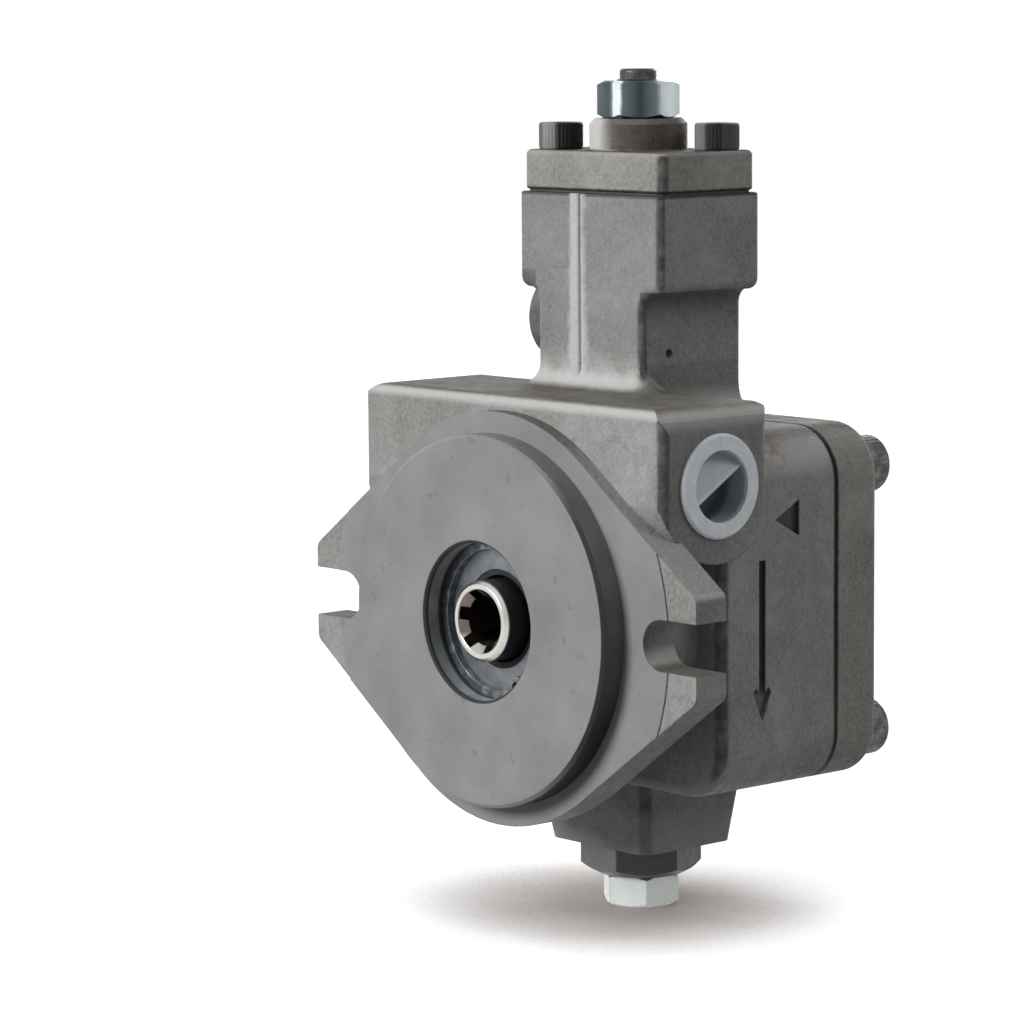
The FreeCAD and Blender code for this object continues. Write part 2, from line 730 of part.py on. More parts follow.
def rear_cover():
    """Back of the pump, with a spigot in the chamber and the rear bush's seat."""
    plate = slab("y", SEAM_Y, COVER_BACK_Y, block_corners())
    plate = rounded(plate, COVER_EDGE_R, lambda p: p.y > COVER_BACK_Y - 0.01)
    plate = rounded(plate, SEAM_EDGE_R, lambda p: p.y < SEAM_Y + 0.01)
    boss_y = COVER_BACK_Y + COVER_BOSS_HEIGHT
    bevel = COVER_BOSS_BEVEL
    boss = turned(
        "y",
        (0, 0),
        [
            (0, COVER_BACK_Y - bevel),
            (COVER_BOSS_R + bevel, COVER_BACK_Y - bevel),
            (COVER_BOSS_R + bevel, COVER_BACK_Y),
            (COVER_BOSS_R, boss_y - bevel),
            (COVER_BOSS_R - bevel, boss_y),
            (0, boss_y),
        ],
    )
    spigot = rod("y", (0, 0), CAVITY_R - RUNNING_GAP, SPIGOT_Y, SEAM_Y + 1)
    groove_y = about(cover_ring_y(), O_RING_R + RUNNING_GAP)
    groove = tube("y", (0, 0), CAVITY_R + 1, CAVITY_R - 2 * O_RING_R, *groove_y)
    bore_end = SHAFT_END_Y + SHAFT_END_ROOM
    tools = [groove, rod("y", (0, 0), REAR_BUSH_R, SPIGOT_Y - 1, bore_end)]
    for at in cover_screw_places():
        tools.append(rod("y", at, M8_R + M8_PASS_GAP, SEAM_Y - 1, COVER_BACK_Y + 1))
    return joined([plate, boss, spigot]).cut(tools + dowels(DOWEL_R, 0))


def cover_ring_y():
    """Where the cover's O-ring lies, midway along the spigot."""
    return (SPIGOT_Y + SEAM_Y) / 2


def cover_o_ring():
    return o_ring("y", (0, 0), CAVITY_R - O_RING_R, O_RING_R - THREAD_GAP, cover_ring_y())


def socket_screw(axis, at, seat, tip, size):
    """A socket head screw. Its head stands beyond seat, away from the tip."""
    radius, head_r, head, socket_flats = size
    radius -= THREAD_GAP
    way = 1 if seat > tip else -1
    top = seat + way * head
    edge = HEAD_EDGE_SHARE * head_r
    profile = [
        (0, top),
        (head_r - edge, top),
        (head_r, top - way * edge),
        (head_r, seat),
        (radius, seat),
        (radius, tip + way * edge),
        (radius - edge, tip),
        (0, tip),
    ]
    corners = []
    for i in range(6):
        angle = math.radians(60 * i + HEAD_SOCKET_DEG)
        reach = socket_flats / math.sqrt(3)
        corners.append((at[0] + reach * math.cos(angle), at[1] + reach * math.sin(angle), 0))
    start, end = sorted((top + way, top - way * head * HEAD_SOCKET_SHARE))
    return turned(axis, at, profile).cut(slab(axis, start, end, corners))


def cover_screws():
    size = (M8_R, M8_HEAD_R, M8_HEAD, M8_SOCKET)
    tip = SEAM_Y - M8_REACH
    return [socket_screw("y", at, COVER_BACK_Y, tip, size) for at in cover_screw_places()]


def cap_screws():
    size = (M6_R, M6_HEAD_R, M6_HEAD, M6_SOCKET)
    tip = TOWER_TOP - M6_REACH
    return [socket_screw("z", at, CAP_TOP, tip, size) for at in cap_screw_places()]


def snap_y():
    """Where the shaft's snap ring starts and ends, just behind the rotor."""
    start = RING_Y1 + SNAP_PLAY
    return (start, start + SNAP_THICKNESS)


def key_y():
    """Where the key starts and ends, in the middle of the rotor."""
    return about((RING_Y0 + RING_Y1) / 2, KEY_LENGTH / 2)


def drive_shaft():
    """Hollow-ended shaft with an internal spline, a front journal and the rotor seat."""
    edge = SHAFT_EDGE
    groove = (snap_y()[0] - SIDE_GAP, snap_y()[1] + SIDE_GAP)
    bar = turned(
        "y",
        (0, 0),
        [
            (0, SHAFT_FRONT_Y),
            (SHAFT_R - edge, SHAFT_FRONT_Y),
            (SHAFT_R, SHAFT_FRONT_Y + edge),
            (SHAFT_R, JOURNAL_Y),
            (JOURNAL_R, JOURNAL_Y + edge),
            (JOURNAL_R, RING_Y0),
            (SHAFT_R, RING_Y0),
            (SHAFT_R, groove[0]),
            (SHAFT_R - SNAP_GROOVE, groove[0]),
            (SHAFT_R - SNAP_GROOVE, groove[1]),
            (SHAFT_R, groove[1]),
            (SHAFT_R, SHAFT_END_Y - edge),
            (SHAFT_R - edge, SHAFT_END_Y),
            (0, SHAFT_END_Y),
        ],
    )
    far = SHAFT_FRONT_Y + SPLINE_DEPTH
    front = SHAFT_FRONT_Y - 1
    lead = SPLINE_OUT_R + SPLINE_LEAD
    bore = turned(
        "y",
        (0, 0),
        [
            (0, front),
            (lead, front),
            (lead, SHAFT_FRONT_Y),
            (SPLINE_IN_R, SHAFT_FRONT_Y + lead - SPLINE_IN_R),
            (SPLINE_IN_R, far),
            (0, far + SPLINE_IN_R / 2),
        ],
    )
    tools = [bore]
    reach = rod("y", (0, 0), SPLINE_OUT_R, front, far)
    slot = box((0, SPLINE_OUT_R + 1), (front, far), about(0, SPLINE_WIDTH / 2)).common(reach)
    for i in range(SPLINE_COUNT):
        tools.append(spun(slot, SPLINE_FIRST_DEG + i * 360 / SPLINE_COUNT))
    tools.append(box(about(0, KEY_WIDTH / 2), key_y(), (KEY_IN_R, KEY_OUT_R)))
    return bar.cut(tools)


def rotor_key():
    start, end = key_y()
    key_z = (KEY_IN_R, KEY_OUT_R)
    return box(about(0, KEY_WIDTH / 2), (start + SIDE_GAP, end - SIDE_GAP), key_z)


def vane_angles():
    return [VANE_FIRST_DEG + i * 360 / VANE_COUNT for i in range(VANE_COUNT)]


def rotor():
    """Slotted drum that carries the vanes."""
    y = (RING_Y0 + 1.5 * SIDE_GAP, RING_Y1 - 1.5 * SIDE_GAP)
    through = (y[0] - 1, y[1] + 1)
    key_x = about(0, KEY_WIDTH / 2 + SIDE_GAP)
    tools = [rod("y", (0, 0), SHAFT_R + SIDE_GAP, *through)]
    tools.append(box(key_x, through, (0, KEY_OUT_R + 2 * SIDE_GAP)))
    slot = box((VANE_FOOT_R, ROTOR_R + 2), through, about(0, VANE_THICKNESS / 2 + SIDE_GAP))
    hole = rod("y", (VANE_FOOT_R, 0), UNDER_VANE_R, *through)
    for angle in vane_angles():
        tools += [spun(slot, angle), spun(hole, angle)]
    return rod("y", (0, 0), ROTOR_R, *y).cut(tools)


def vane(angle):
    """One vane, drawn back in its slot, with a rounded tip."""
    half = VANE_THICKNESS / 2
    corners = [
        (VANE_FOOT_R, -half, 0),
        (VANE_TIP_R, -half, VANE_EDGE_R),
        (VANE_TIP_R, half, VANE_EDGE_R),
        (VANE_FOOT_R, half, 0),
    ]
    return spun(slab("y", RING_Y0 + 2 * SIDE_GAP, RING_Y1 - 2 * SIDE_GAP, corners), angle)


def cam_ring():
    """Ring round the vanes. It slides up and down to change the pump's flow."""
    y = (RING_Y0 + SIDE_GAP, RING_Y1 - SIDE_GAP)
    flats = box(about(0, RING_SIDE_FLAT), y, about(0, RING_TOP_FLAT))
    return tube("y", (0, 0), RING_OUT_R, RING_IN_R, *y).common(flats)


def side_plate(start, bore_r, rotor_side):
    """Plate at one end of the rotor, with a kidney slot to each port."""
    end = start + PLATE_THICKNESS
    face = end if rotor_side > 0 else start
    groove_y = sorted((face + rotor_side, face - rotor_side * PLATE_GROOVE))
    tools = [tube("y", (0, 0), VANE_FOOT_R + 1, VANE_FOOT_R - 1, *groove_y)]
    tools.append(rod("y", (0, 0), bore_r, start - 1, end + 1))
    tools += [kidney(side, start - 1, end + 1) for side in (-1, 1)]
    return rod("y", (0, 0), CAVITY_R - RUNNING_GAP, start, end).cut(tools + dowels(DOWEL_R, 0))


def ring_guide(side):
    """Block between the ring's flat and the chamber wall."""
    x = sorted((side * (RING_SIDE_FLAT + RUNNING_GAP), side * CAVITY_R))
    y = (RING_Y0 + GUIDE_INSET, RING_Y1 - GUIDE_INSET)
    block = box(x, y, about(0, GUIDE_HALF_HEIGHT))
    return block.common(rod("y", (0, 0), CAVITY_R - SIDE_GAP, *y))


def bush(outer, inner, span):
    return tube("y", (0, 0), outer - BUSH_WALL_GAP, inner + RUNNING_GAP, *span)


def rear_bush_y():
    """Where the rear bush starts and ends, inside the cover's bore."""
    return (SPIGOT_Y + REAR_BUSH_INSET, SHAFT_END_Y - REAR_BUSH_INSET)


def seal_case():
    """Stiff ring of the shaft seal, closed at the front."""
    outer = SEAL_BORE_R - SIDE_GAP
    wall = SEAL_WALL
    return turned(
        "y",
        (0, 0),
        [
            (SEAL_LIP_R, SEAL_FRONT_Y),
            (outer - wall / 3, SEAL_FRONT_Y),
            (outer, SEAL_FRONT_Y + wall / 3),
            (outer, SEAL_BACK_Y),
            (outer - wall, SEAL_BACK_Y),
            (outer - wall, SEAL_FRONT_Y + wall),
            (SEAL_LIP_R, SEAL_FRONT_Y + wall),
        ],
    )


def seal_lip():
    """Rubber lip that bears on the shaft, with a seat for its garter spring."""
    touch = SHAFT_R + THREAD_GAP
    outer = GARTER_R - GARTER_WIRE_R - RUNNING_GAP
    y = SEAL_FRONT_Y
    return turned(
        "y",
        (0, 0),
        [
            (touch + 0.7, y + 0.4),
            (SEAL_LIP_R, y + 0.2),
            (SEAL_LIP_R, y + SEAL_WALL),
            (outer + 0.1, y + SEAL_WALL + 0.8),
            (outer, GARTER_Y - 0.8),
            (outer, GARTER_Y + 0.8),
            (outer + 0.4, GARTER_Y + 1.3),
            (outer - 0.2, GARTER_Y + 1.7),
            (touch, GARTER_Y + 0.2),
            (touch, GARTER_Y - 0.2),
            (touch + 0.5, y + SEAL_WALL + 0.4),
        ],
    )


def circlip():
    """Open spring ring in front of the seal, with two eared ends."""
    band = tube("y", (0, 0), CIRCLIP_OUT_R, CIRCLIP_IN_R, *CIRCLIP_Y)
    first, last = (math.radians(a) for a in CIRCLIP_LUG_DEG)
    far = 2 * CIRCLIP_OUT_R
    wedge = [(0, 0, 0)]
    for angle in (first, (first + last) / 2, last):
        wedge.append((far * math.cos(angle), far * math.sin(angle), 0))
    pieces = [band.cut(slab("y", *CIRCLIP_Y, wedge))]
    lug_at = CIRCLIP_OUT_R - CIRCLIP_LUG_R - 4 * RUNNING_GAP
    holes = []
    for angle in (first, last):
        at = (lug_at * math.cos(angle), lug_at * math.sin(angle))
        pieces.append(rod("y", at, CIRCLIP_LUG_R, *CIRCLIP_Y))
        holes.append(rod("y", at, CIRCLIP_HOLE_R, CIRCLIP_Y[0] - 1, CIRCLIP_Y[1] + 1))
    return joined(pieces).cut(holes)


def snap_ring():
    y = snap_y()
    band = tube("y", (0, 0), SNAP_OUT_R, SHAFT_R - SNAP_GROOVE + RUNNING_GAP, *y)
    return band.cut(box(about(0, SNAP_OUT_R / 4), y, (-2 * SNAP_OUT_R, 0)))


def compensator_piston():
    """Stem that rests on the ring, with a head that carries the spring."""
    low, high = PISTON_HEAD_Z
    bottom = RING_TOP_FLAT + THREAD_GAP
    spigot = high + SPIGOT_HEIGHT
    return turned(
        "z",
        (0, TOWER_Y),
        [
            (0, bottom),
            (STEM_R - STEM_EDGE, bottom),
            (STEM_R, bottom + STEM_EDGE),
            (STEM_R, low),
            (PISTON_HEAD_R, low),
            (PISTON_HEAD_R, high),
            (SPIGOT_R, high),
            (SPIGOT_R, spigot - SPIGOT_EDGE),
            (SPIGOT_R - SPIGOT_EDGE, spigot),
            (0, spigot),
        ],
    )


def compensator_spring():
    """Coil spring between the piston and its seat, with its ends ground flat."""
    low = PISTON_HEAD_Z[1]
    height = SEAT_Z[0] - low
    path = Part.makeHelix(height / SPRING_TURNS, height, SPRING_R)
    path.translate(V(0, TOWER_Y, low))
    section = Part.makeCircle(SPRING_WIRE_R, V(SPRING_R, TOWER_Y, low), V(0, 1, 0))
    coil = Part.Wire(path.Edges).makePipeShell([Part.Wire(section)], True, True)
    ends = (low + SIDE_GAP, low + height - SIDE_GAP)
    return coil.common(rod("z", (0, TOWER_Y), CHAMBER_R, *ends))


def spring_seat():
    """Sliding seat above the spring, with an O-ring groove and a pocket for the screw."""
    low, high = SEAT_Z
    seat_r = CHAMBER_R - RUNNING_GAP
    middle = (low + high) / 2
    groove = about(middle, O_RING_R + RUNNING_GAP)
    groove_r = CHAMBER_R - 2 * O_RING_R
    pocket = SCREW_R + SEAT_POCKET_GAP
    bottom = low - SPIGOT_HEIGHT
    return turned(
        "z",
        (0, TOWER_Y),
        [
            (0, bottom),
            (SPIGOT_R - SPIGOT_EDGE, bottom),
            (SPIGOT_R, bottom + SPIGOT_EDGE),
            (SPIGOT_R, low),
            (seat_r, low),
            (seat_r, groove[0]),
            (groove_r, groove[0]),
            (groove_r, groove[1]),
            (seat_r, groove[1]),
            (seat_r, high - SEAT_EDGE),
            (seat_r - SEAT_EDGE, high),
            (pocket, high),
            (pocket, SCREW_TIP_Z - SIDE_GAP),
            (0, SCREW_TIP_Z - SIDE_GAP),
        ],
    )


def seat_o_ring():
    middle = sum(SEAT_Z) / 2
    return o_ring("z", (0, TOWER_Y), CHAMBER_R - O_RING_R, O_RING_R - THREAD_GAP, middle)


def adjusting_screw(inner, outer):
    """Screw with a blunt tip at its inner end and a hexagon socket at its outer end."""
    way = 1 if outer > inner else -1
    radius = SCREW_R - THREAD_GAP
    edge = SCREW_EDGE
    profile = [
        (0, inner),
        (radius - edge, inner),
        (radius, inner + way * edge),
        (radius, outer - way * edge),
        (radius - edge, outer),
        (0, outer),
    ]
    start, end = sorted((outer + way, outer - way * SOCKET_DEPTH))
    socket = hexagon((0, TOWER_Y), SOCKET_FLATS, start, end, SOCKET_TURN_DEG)
    return turned("z", (0, TOWER_Y), profile).cut(socket)


def tower_cap():
    """Cast cap with a threaded boss for the pressure screw."""
    centre = (0, TOWER_Y)
    plan = box_corners(about(0, CAP_HALF_WIDTH), about(TOWER_Y, CAP_HALF_DEPTH), CAP_CORNER_R)
    plate = slab("z", CAP_BOTTOM, CAP_TOP, plan)
    plate = rounded(plate, CAP_EDGE_R, lambda p: p.z > CAP_TOP - 0.01)
    plate = rounded(plate, SEAM_EDGE_R, lambda p: p.z < CAP_BOTTOM + 0.01)
    boss = turned(
        "z",
        centre,
        [
            (0, CAP_BOTTOM),
            (CAP_BOSS_R, CAP_BOTTOM),
            (CAP_BOSS_R, CAP_BOSS_TOP - CAP_EDGE_R),
            (CAP_BOSS_R - CAP_EDGE_R, CAP_BOSS_TOP),
            (0, CAP_BOSS_TOP),
        ],
    )
    tools = [rod("z", centre, SCREW_R + THREAD_GAP, CAP_BOTTOM - 1, CAP_BOSS_TOP + 1)]
    hole_r = M6_R + M6_PASS_GAP
    tools += [rod("z", at, hole_r, CAP_BOTTOM - 1, CAP_TOP + 1) for at in cap_screw_places()]
    return joined([plate, boss]).cut(tools)


def cap_gasket():
    x = about(0, CAP_HALF_WIDTH - GASKET_INSET)
    y = about(TOWER_Y, CAP_HALF_DEPTH - GASKET_INSET)
    through = (TOWER_TOP - 1, CAP_BOTTOM + 1)
    tools = [rod("z", (0, TOWER_Y), CHAMBER_R + GASKET_INSET, *through)]
    tools += [rod("z", at, M6_R + M6_PASS_GAP, *through) for at in cap_screw_places()]
    return slab("z", TOWER_TOP, CAP_BOTTOM, box_corners(x, y, CAP_CORNER_R)).cut(tools)


def lock_nut(bottom, top, turn):
    ends = ("bottom", "top")
    nut = hex_bar((0, TOWER_Y), NUT_FLATS, bottom, top, turn, ends, HEX_TURNED)
    return nut.cut(rod("z", (0, TOWER_Y), SCREW_R + THREAD_GAP, bottom - 1, top + 1))


def flow_plug():
    """Hexagon plug in the bottom boss, bored for the flow screw."""
    centre = (0, TOWER_Y)
    span = (PLUG_HEX_BOTTOM, BOSS_BOTTOM)
    head = hex_bar(centre, PLUG_FLATS, *span, PLUG_TURN_DEG, ("bottom",), PLUG_HEX_TURNED)
    radius = PLUG_R - THREAD_GAP
    neck_r = PLUG_SEAL_R - PLUG_SEAL_WIRE_R - RUNNING_GAP
    neck_z = BOSS_BOTTOM + PLUG_SEAL_DEPTH
    top = PLUG_BORE_TOP - 2 * RUNNING_GAP
    edge = PLUG_EDGE
    stem = turned(
        "z",
        centre,
        [
            (0, BOSS_BOTTOM - 1),
            (neck_r, BOSS_BOTTOM - 1),
            (neck_r, neck_z),
            (radius, neck_z + radius - neck_r),
            (radius, top - edge),
            (radius - edge, top),
            (0, top),
        ],
    )
    bore = rod("z", centre, SCREW_R + THREAD_GAP, PLUG_HEX_BOTTOM - 1, PLUG_BORE_TOP + 1)
    return joined([head, stem]).cut(bore)


def plug_o_ring():
    middle = BOSS_BOTTOM + PLUG_SEAL_DEPTH / 2
    return o_ring("z", (0, TOWER_Y), PLUG_SEAL_R, PLUG_SEAL_WIRE_R, middle)


def stop_plunger():
    """Pin that limits how far down the ring goes."""
    top = -RING_TOP_FLAT - RING_TRAVEL - RUNNING_GAP
    return turned(
        "z",
        (0, TOWER_Y),
        [
            (0, top),
            (PLUNGER_R - PLUNGER_EDGE, top),
            (PLUNGER_R, top - PLUNGER_EDGE),
            (PLUNGER_R, PLUNGER_BOTTOM),
            (0, PLUNGER_BOTTOM),
        ],
    )


def inlet_plug():
    """Plastic closure: a flange outside, and a recess that is deep on one side of a slope."""
    centre = (PORT_Y, PORT_Z)
    face = PORT_HALF_WIDTH + SIDE_GAP
    outer = face + CLOSER_FLANGE
    inner = face - CLOSER_LENGTH
    body_r = INLET_R - CLOSER_GAP
    edge = CLOSER_EDGE
    plug = turned(
        "x",
        centre,
        [
            (0, outer),
            (CLOSER_FLANGE_R - edge, outer),
            (CLOSER_FLANGE_R, outer - edge),
            (CLOSER_FLANGE_R, face),
            (body_r, face),
            (body_r, inner + edge),
            (body_r - edge, inner),
            (0, inner),
        ],
    )
    far = 2 * CLOSER_RECESS_R
    deep = rod("x", (0, 0), CLOSER_RECESS_R, outer - CLOSER_RECESS, outer + 1)
    deep = deep.common(box((inner, outer + 1), (0, far), (-far, far)))
    shelf = [
        (outer + 1, 0, 0),
        (outer - CLOSER_SHELF[0], 0, 0),
        (outer - CLOSER_SHELF[1], -CLOSER_RECESS_R, 0),
        (outer + 1, -CLOSER_RECESS_R, 0),
    ]
    slope = slab("z", -far, far, shelf).common(rod("x", (0, 0), CLOSER_RECESS_R, inner, outer + 1))
    recess = deep.fuse(slope)
    recess.rotate(V(0, 0, 0), V(1, 0, 0), CLOSER_TURN_DEG)
    recess.translate(V(0, *centre))
    return plug.cut(recess)


def save(name, shapes):
    """Write one STEP file. A list makes a group of solids."""
    shape = Part.makeCompound(shapes) if isinstance(shapes, list) else shapes
    shape.exportStep(os.path.join("parts", name + ".step"))


def save_housing():
    save("body_casting", body_casting())
    save("rear_cover", rear_cover())
    save("cover_screws", cover_screws())
    save("cover_o_ring", cover_o_ring())
    save("plate_dowels", dowels(DOWEL_R - SIDE_GAP, 2 * RUNNING_GAP))
    save("front_side_plate", side_plate(CAVITY_Y, JOURNAL_R + PLATE_BORE_GAP, 1))
    save("rear_side_plate", side_plate(RING_Y1, SNAP_OUT_R + PLATE_BORE_GAP, -1))
    save("thrust_block", ring_guide(-1))
    save("guide_block", ring_guide(1))
    save("front_bush", bush(FRONT_BUSH_R, JOURNAL_R, FRONT_BUSH_Y))
    save("rear_bush", bush(REAR_BUSH_R, SHAFT_R, rear_bush_y()))
    save("seal_case", seal_case())
    save("seal_lip", seal_lip())
    save("seal_garter", o_ring("y", (0, 0), GARTER_R, GARTER_WIRE_R, GARTER_Y))
    save("seal_circlip", circlip())
    save("inlet_plug", inlet_plug())


def save_rotating_group():
    save("drive_shaft", drive_shaft())
    save("rotor_key", rotor_key())
    save("shaft_snap_ring", snap_ring())
    save("rotor", rotor())
    for i, angle in enumerate(vane_angles()):
        save(f"vane_{i + 1:02d}", vane(angle))
    save("cam_ring", cam_ring())


def save_compensator():
    save("compensator_piston", compensator_piston())
    save("compensator_spring", compensator_spring())
    save("spring_seat", spring_seat())
    save("seat_o_ring", seat_o_ring())
    save("pressure_screw", adjusting_screw(SCREW_TIP_Z, SCREW_TOP))
    save("pressure_lock_nut", lock_nut(CAP_BOSS_TOP, NUT_TOP, TOP_NUT_TURN_DEG))
    save("tower_cap", tower_cap())
    save("cap_gasket", cap_gasket())
    save("cap_screws", cap_screws())


def save_flow_adjuster():
    save("stop_plunger", stop_plunger())
    save("flow_plug", flow_plug())
    save("flow_plug_o_ring", plug_o_ring())
    save("flow_screw", adjusting_screw(PLUNGER_BOTTOM - THREAD_GAP, FLOW_SCREW_BOTTOM))
    save("flow_lock_nut", lock_nut(LOW_NUT_BOTTOM, PLUG_HEX_BOTTOM, LOW_NUT_TURN_DEG))


def main():
    os.makedirs("parts", exist_ok=True)
    save_housing()
    save_rotating_group()
    save_compensator()
    save_flow_adjuster()


main()
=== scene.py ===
import math

import bmesh
import bpy
from mathutils import Matrix, Vector

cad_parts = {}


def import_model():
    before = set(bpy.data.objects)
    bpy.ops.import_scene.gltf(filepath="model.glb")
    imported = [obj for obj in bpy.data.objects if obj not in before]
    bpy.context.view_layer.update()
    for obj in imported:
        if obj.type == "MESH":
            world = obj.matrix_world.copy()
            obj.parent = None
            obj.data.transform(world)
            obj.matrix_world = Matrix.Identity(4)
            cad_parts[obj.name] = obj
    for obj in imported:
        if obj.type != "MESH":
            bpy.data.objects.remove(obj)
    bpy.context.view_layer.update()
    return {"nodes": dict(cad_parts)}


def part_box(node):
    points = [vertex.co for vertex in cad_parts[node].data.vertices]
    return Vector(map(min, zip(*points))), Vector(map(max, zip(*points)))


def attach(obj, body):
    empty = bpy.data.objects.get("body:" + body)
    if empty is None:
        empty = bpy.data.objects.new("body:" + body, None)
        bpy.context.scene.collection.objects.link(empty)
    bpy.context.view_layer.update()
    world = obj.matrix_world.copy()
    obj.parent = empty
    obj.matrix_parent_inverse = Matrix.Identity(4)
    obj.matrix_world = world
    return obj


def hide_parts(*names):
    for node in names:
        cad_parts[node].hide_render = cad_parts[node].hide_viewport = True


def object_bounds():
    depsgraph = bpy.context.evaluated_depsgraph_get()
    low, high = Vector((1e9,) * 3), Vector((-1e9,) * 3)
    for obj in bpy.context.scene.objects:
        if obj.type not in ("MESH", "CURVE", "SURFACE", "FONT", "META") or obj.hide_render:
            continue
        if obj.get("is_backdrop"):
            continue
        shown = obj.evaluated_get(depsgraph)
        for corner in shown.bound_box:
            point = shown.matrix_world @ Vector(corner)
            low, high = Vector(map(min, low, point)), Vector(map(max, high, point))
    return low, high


# Looks of a variable vane pump. Sizes are in metres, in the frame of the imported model: the shaft turns
# on the Y axis, the flange faces -Y, Z is up and the inlet is on the +X side.

MM = 0.001

# Camera, as it stood for the photograph
CAMERA_YAW = math.radians(48.546)
CAMERA_PITCH = math.radians(7.136)
CAMERA_ROLL = math.radians(-0.4326)
CAMERA_FAR = 0.89044
CAMERA_ACROSS = 0.003437
CAMERA_UP = 0.023657
CAMERA_LENS = 142.035
SENSOR = 36.0

# Light: the room's strength away from and towards its dark side, and the lamps as
# (name, place, target, size, power)
DARK_SIDE = (0.749, -0.663, 0.0)
ROOM_TURN = 0.8
ROOM_LIGHT = 0.32
ROOM_DARK = 0.15
ROOM_TINT = (1.0, 0.975, 0.94)
LAMPS = (
    ("key", (-0.47, -1.63, 0.78), (0, 0.02, 0.01), 0.9, 36),
    ("right", (1.2, 0.95, 1.0), (0, 0.04, 0.02), 0.9, 6),
    ("behind", (-0.75, 1.35, 0.42), (0, 0.04, 0.02), 0.9, 12),
)

# Floor: its colour by bounced light, its white and its painted shadow as seen, and where the shadow starts
# and ends
FLOOR_GREY = (0.3, 0.3, 0.3, 1)
FLOOR_WHITE = (0.86, 0.86, 0.86, 1)
FLOOR_SHADOW = (0.105, 0.078, 0.068, 1)
FLOOR_GLOW = 1.1
SHADOW_REACH = 0.07
SHADOW_SHARE = (0.455, 0.685)

# Upright axis of the adjusters, the tower and the cap
TOWER_Y = 43.5 * MM
FRONT_WALL = (20 * MM, 28.2 * MM)
RIDGE_X = -3.5 * MM
RIDGE_HALF_WIDTHS = (2.8 * MM, 1.7 * MM)
FOOT_Z = 49.2 * MM
STEP_Z = 71 * MM
NECK_SIDE_X = 16.8 * MM
CAP_SEAM_Z = 92.85 * MM
CAP_TOP_Z = 102.3 * MM
CAP_BOSS_R = 11.0 * MM
CAP_LIGHT_TURN = math.radians(48.5)
CAP_SCREW_AT = (17 * MM, 8 * MM)

# Flange and pilot, and the bore in them
FLANGE_FACE_Y = 0.1 * MM
PILOT_WALL_R = 41.15 * MM
PILOT_EDGE_Y = -5.25 * MM
PILOT_EDGE_R = 40.4 * MM
SEAL_BORE_R = 17.6 * MM
MOUTH_R = 18.2 * MM
MOUTH_Y = -5.95 * MM
PILOT_WALL_FADE = (12 * MM, -20 * MM)
LINING_FRONT = (-4.6 * MM, -5.1 * MM)
LINING_BACK = (-2.3 * MM, -1.6 * MM)

# Block, its seam, its sunk marks and its ports
SEAM_Y = 59.8 * MM
SEAM_STAIN = 1.0 * MM
BLOCK_TOP_Z = 46.3 * MM
BLOCK_BOTTOM_Z = -44 * MM
BLOCK_SIDE_X = 46 * MM
MARKS_Y = (33 * MM, 50 * MM)
MARKS_Z = (-24 * MM, 28 * MM)
MARKS_FADE = (-21 * MM, -12 * MM)
MARKS_DEPTH = 2 * MM
RUST_AT = (41 * MM, 39 * MM)
RUST_X = 30 * MM
PORT_AT = (20 * MM, 32 * MM)
PORT_BORE_R = 9.5 * MM
PORT_THREAD_X = 49.3 * MM
PORT_THREAD_PITCH = 1.8 * MM

# Shaft
SPLINE_R = 7.25 * MM
SHAFT_FACE_R = 8.6 * MM
SPLINE_SHADE = (-4.5 * MM, -3.0 * MM)
BORE_SHADE = (-4.6 * MM, 1.0 * MM)
SHAFT_SHADE_START = (-4.5 * MM, -3.6 * MM)

# Inlet plug: its rim and its recess grow darker inwards
PLUG_RIM_X = (50.0 * MM, 49.2 * MM)
PLUG_RECESS_X = (47.5 * MM, 44.0 * MM)

# Painted reflections round upright steel parts: degrees from +X, and the share of the light tone
TOP_BANDS = (
    (-179, 0.2), (-130, 0.1), (-98, 0.04), (-89, 0.2), (-85, 1.0), (-71, 1.0),
    (-67, 0.1), (-40, 0.0), (-16, 0.1), (-8, 0.45), (20, 0.55), (50, 0.42),
    (56, 0.1), (100, 0.2), (112, 0.8), (165, 0.6), (176, 0.2),
)
LOW_BANDS = (
    (-175, 0.5), (-120, 0.3), (-98, 0.4), (-92, 1.0), (-40, 1.0), (-32, 0.9),
    (24, 0.8), (60, 0.9), (140, 0.5),
)
LEFT_SCREW_BANDS = (
    (-179, 0.2), (-130, 0.3), (-103, 0.45), (-95, 1.0), (-62, 0.8), (-50, 0.0),
    (60, 0.0), (150, 0.1),
)
RIGHT_SCREW_BANDS = (
    (-179, 0.2), (-130, 0.3), (-112, 0.7), (-82, 0.6), (-72, 0.05), (-36, 0.0),
    (-26, 0.22), (45, 0.3), (150, 0.1),
)
PLUG_BANDS = (
    (-179, 0.5), (-130, 0.75), (-69, 0.85), (-66, 0.06), (-9, 0.0), (-6, 0.03),
    (50, 0.05), (60, 0.5), (170, 0.5),
)

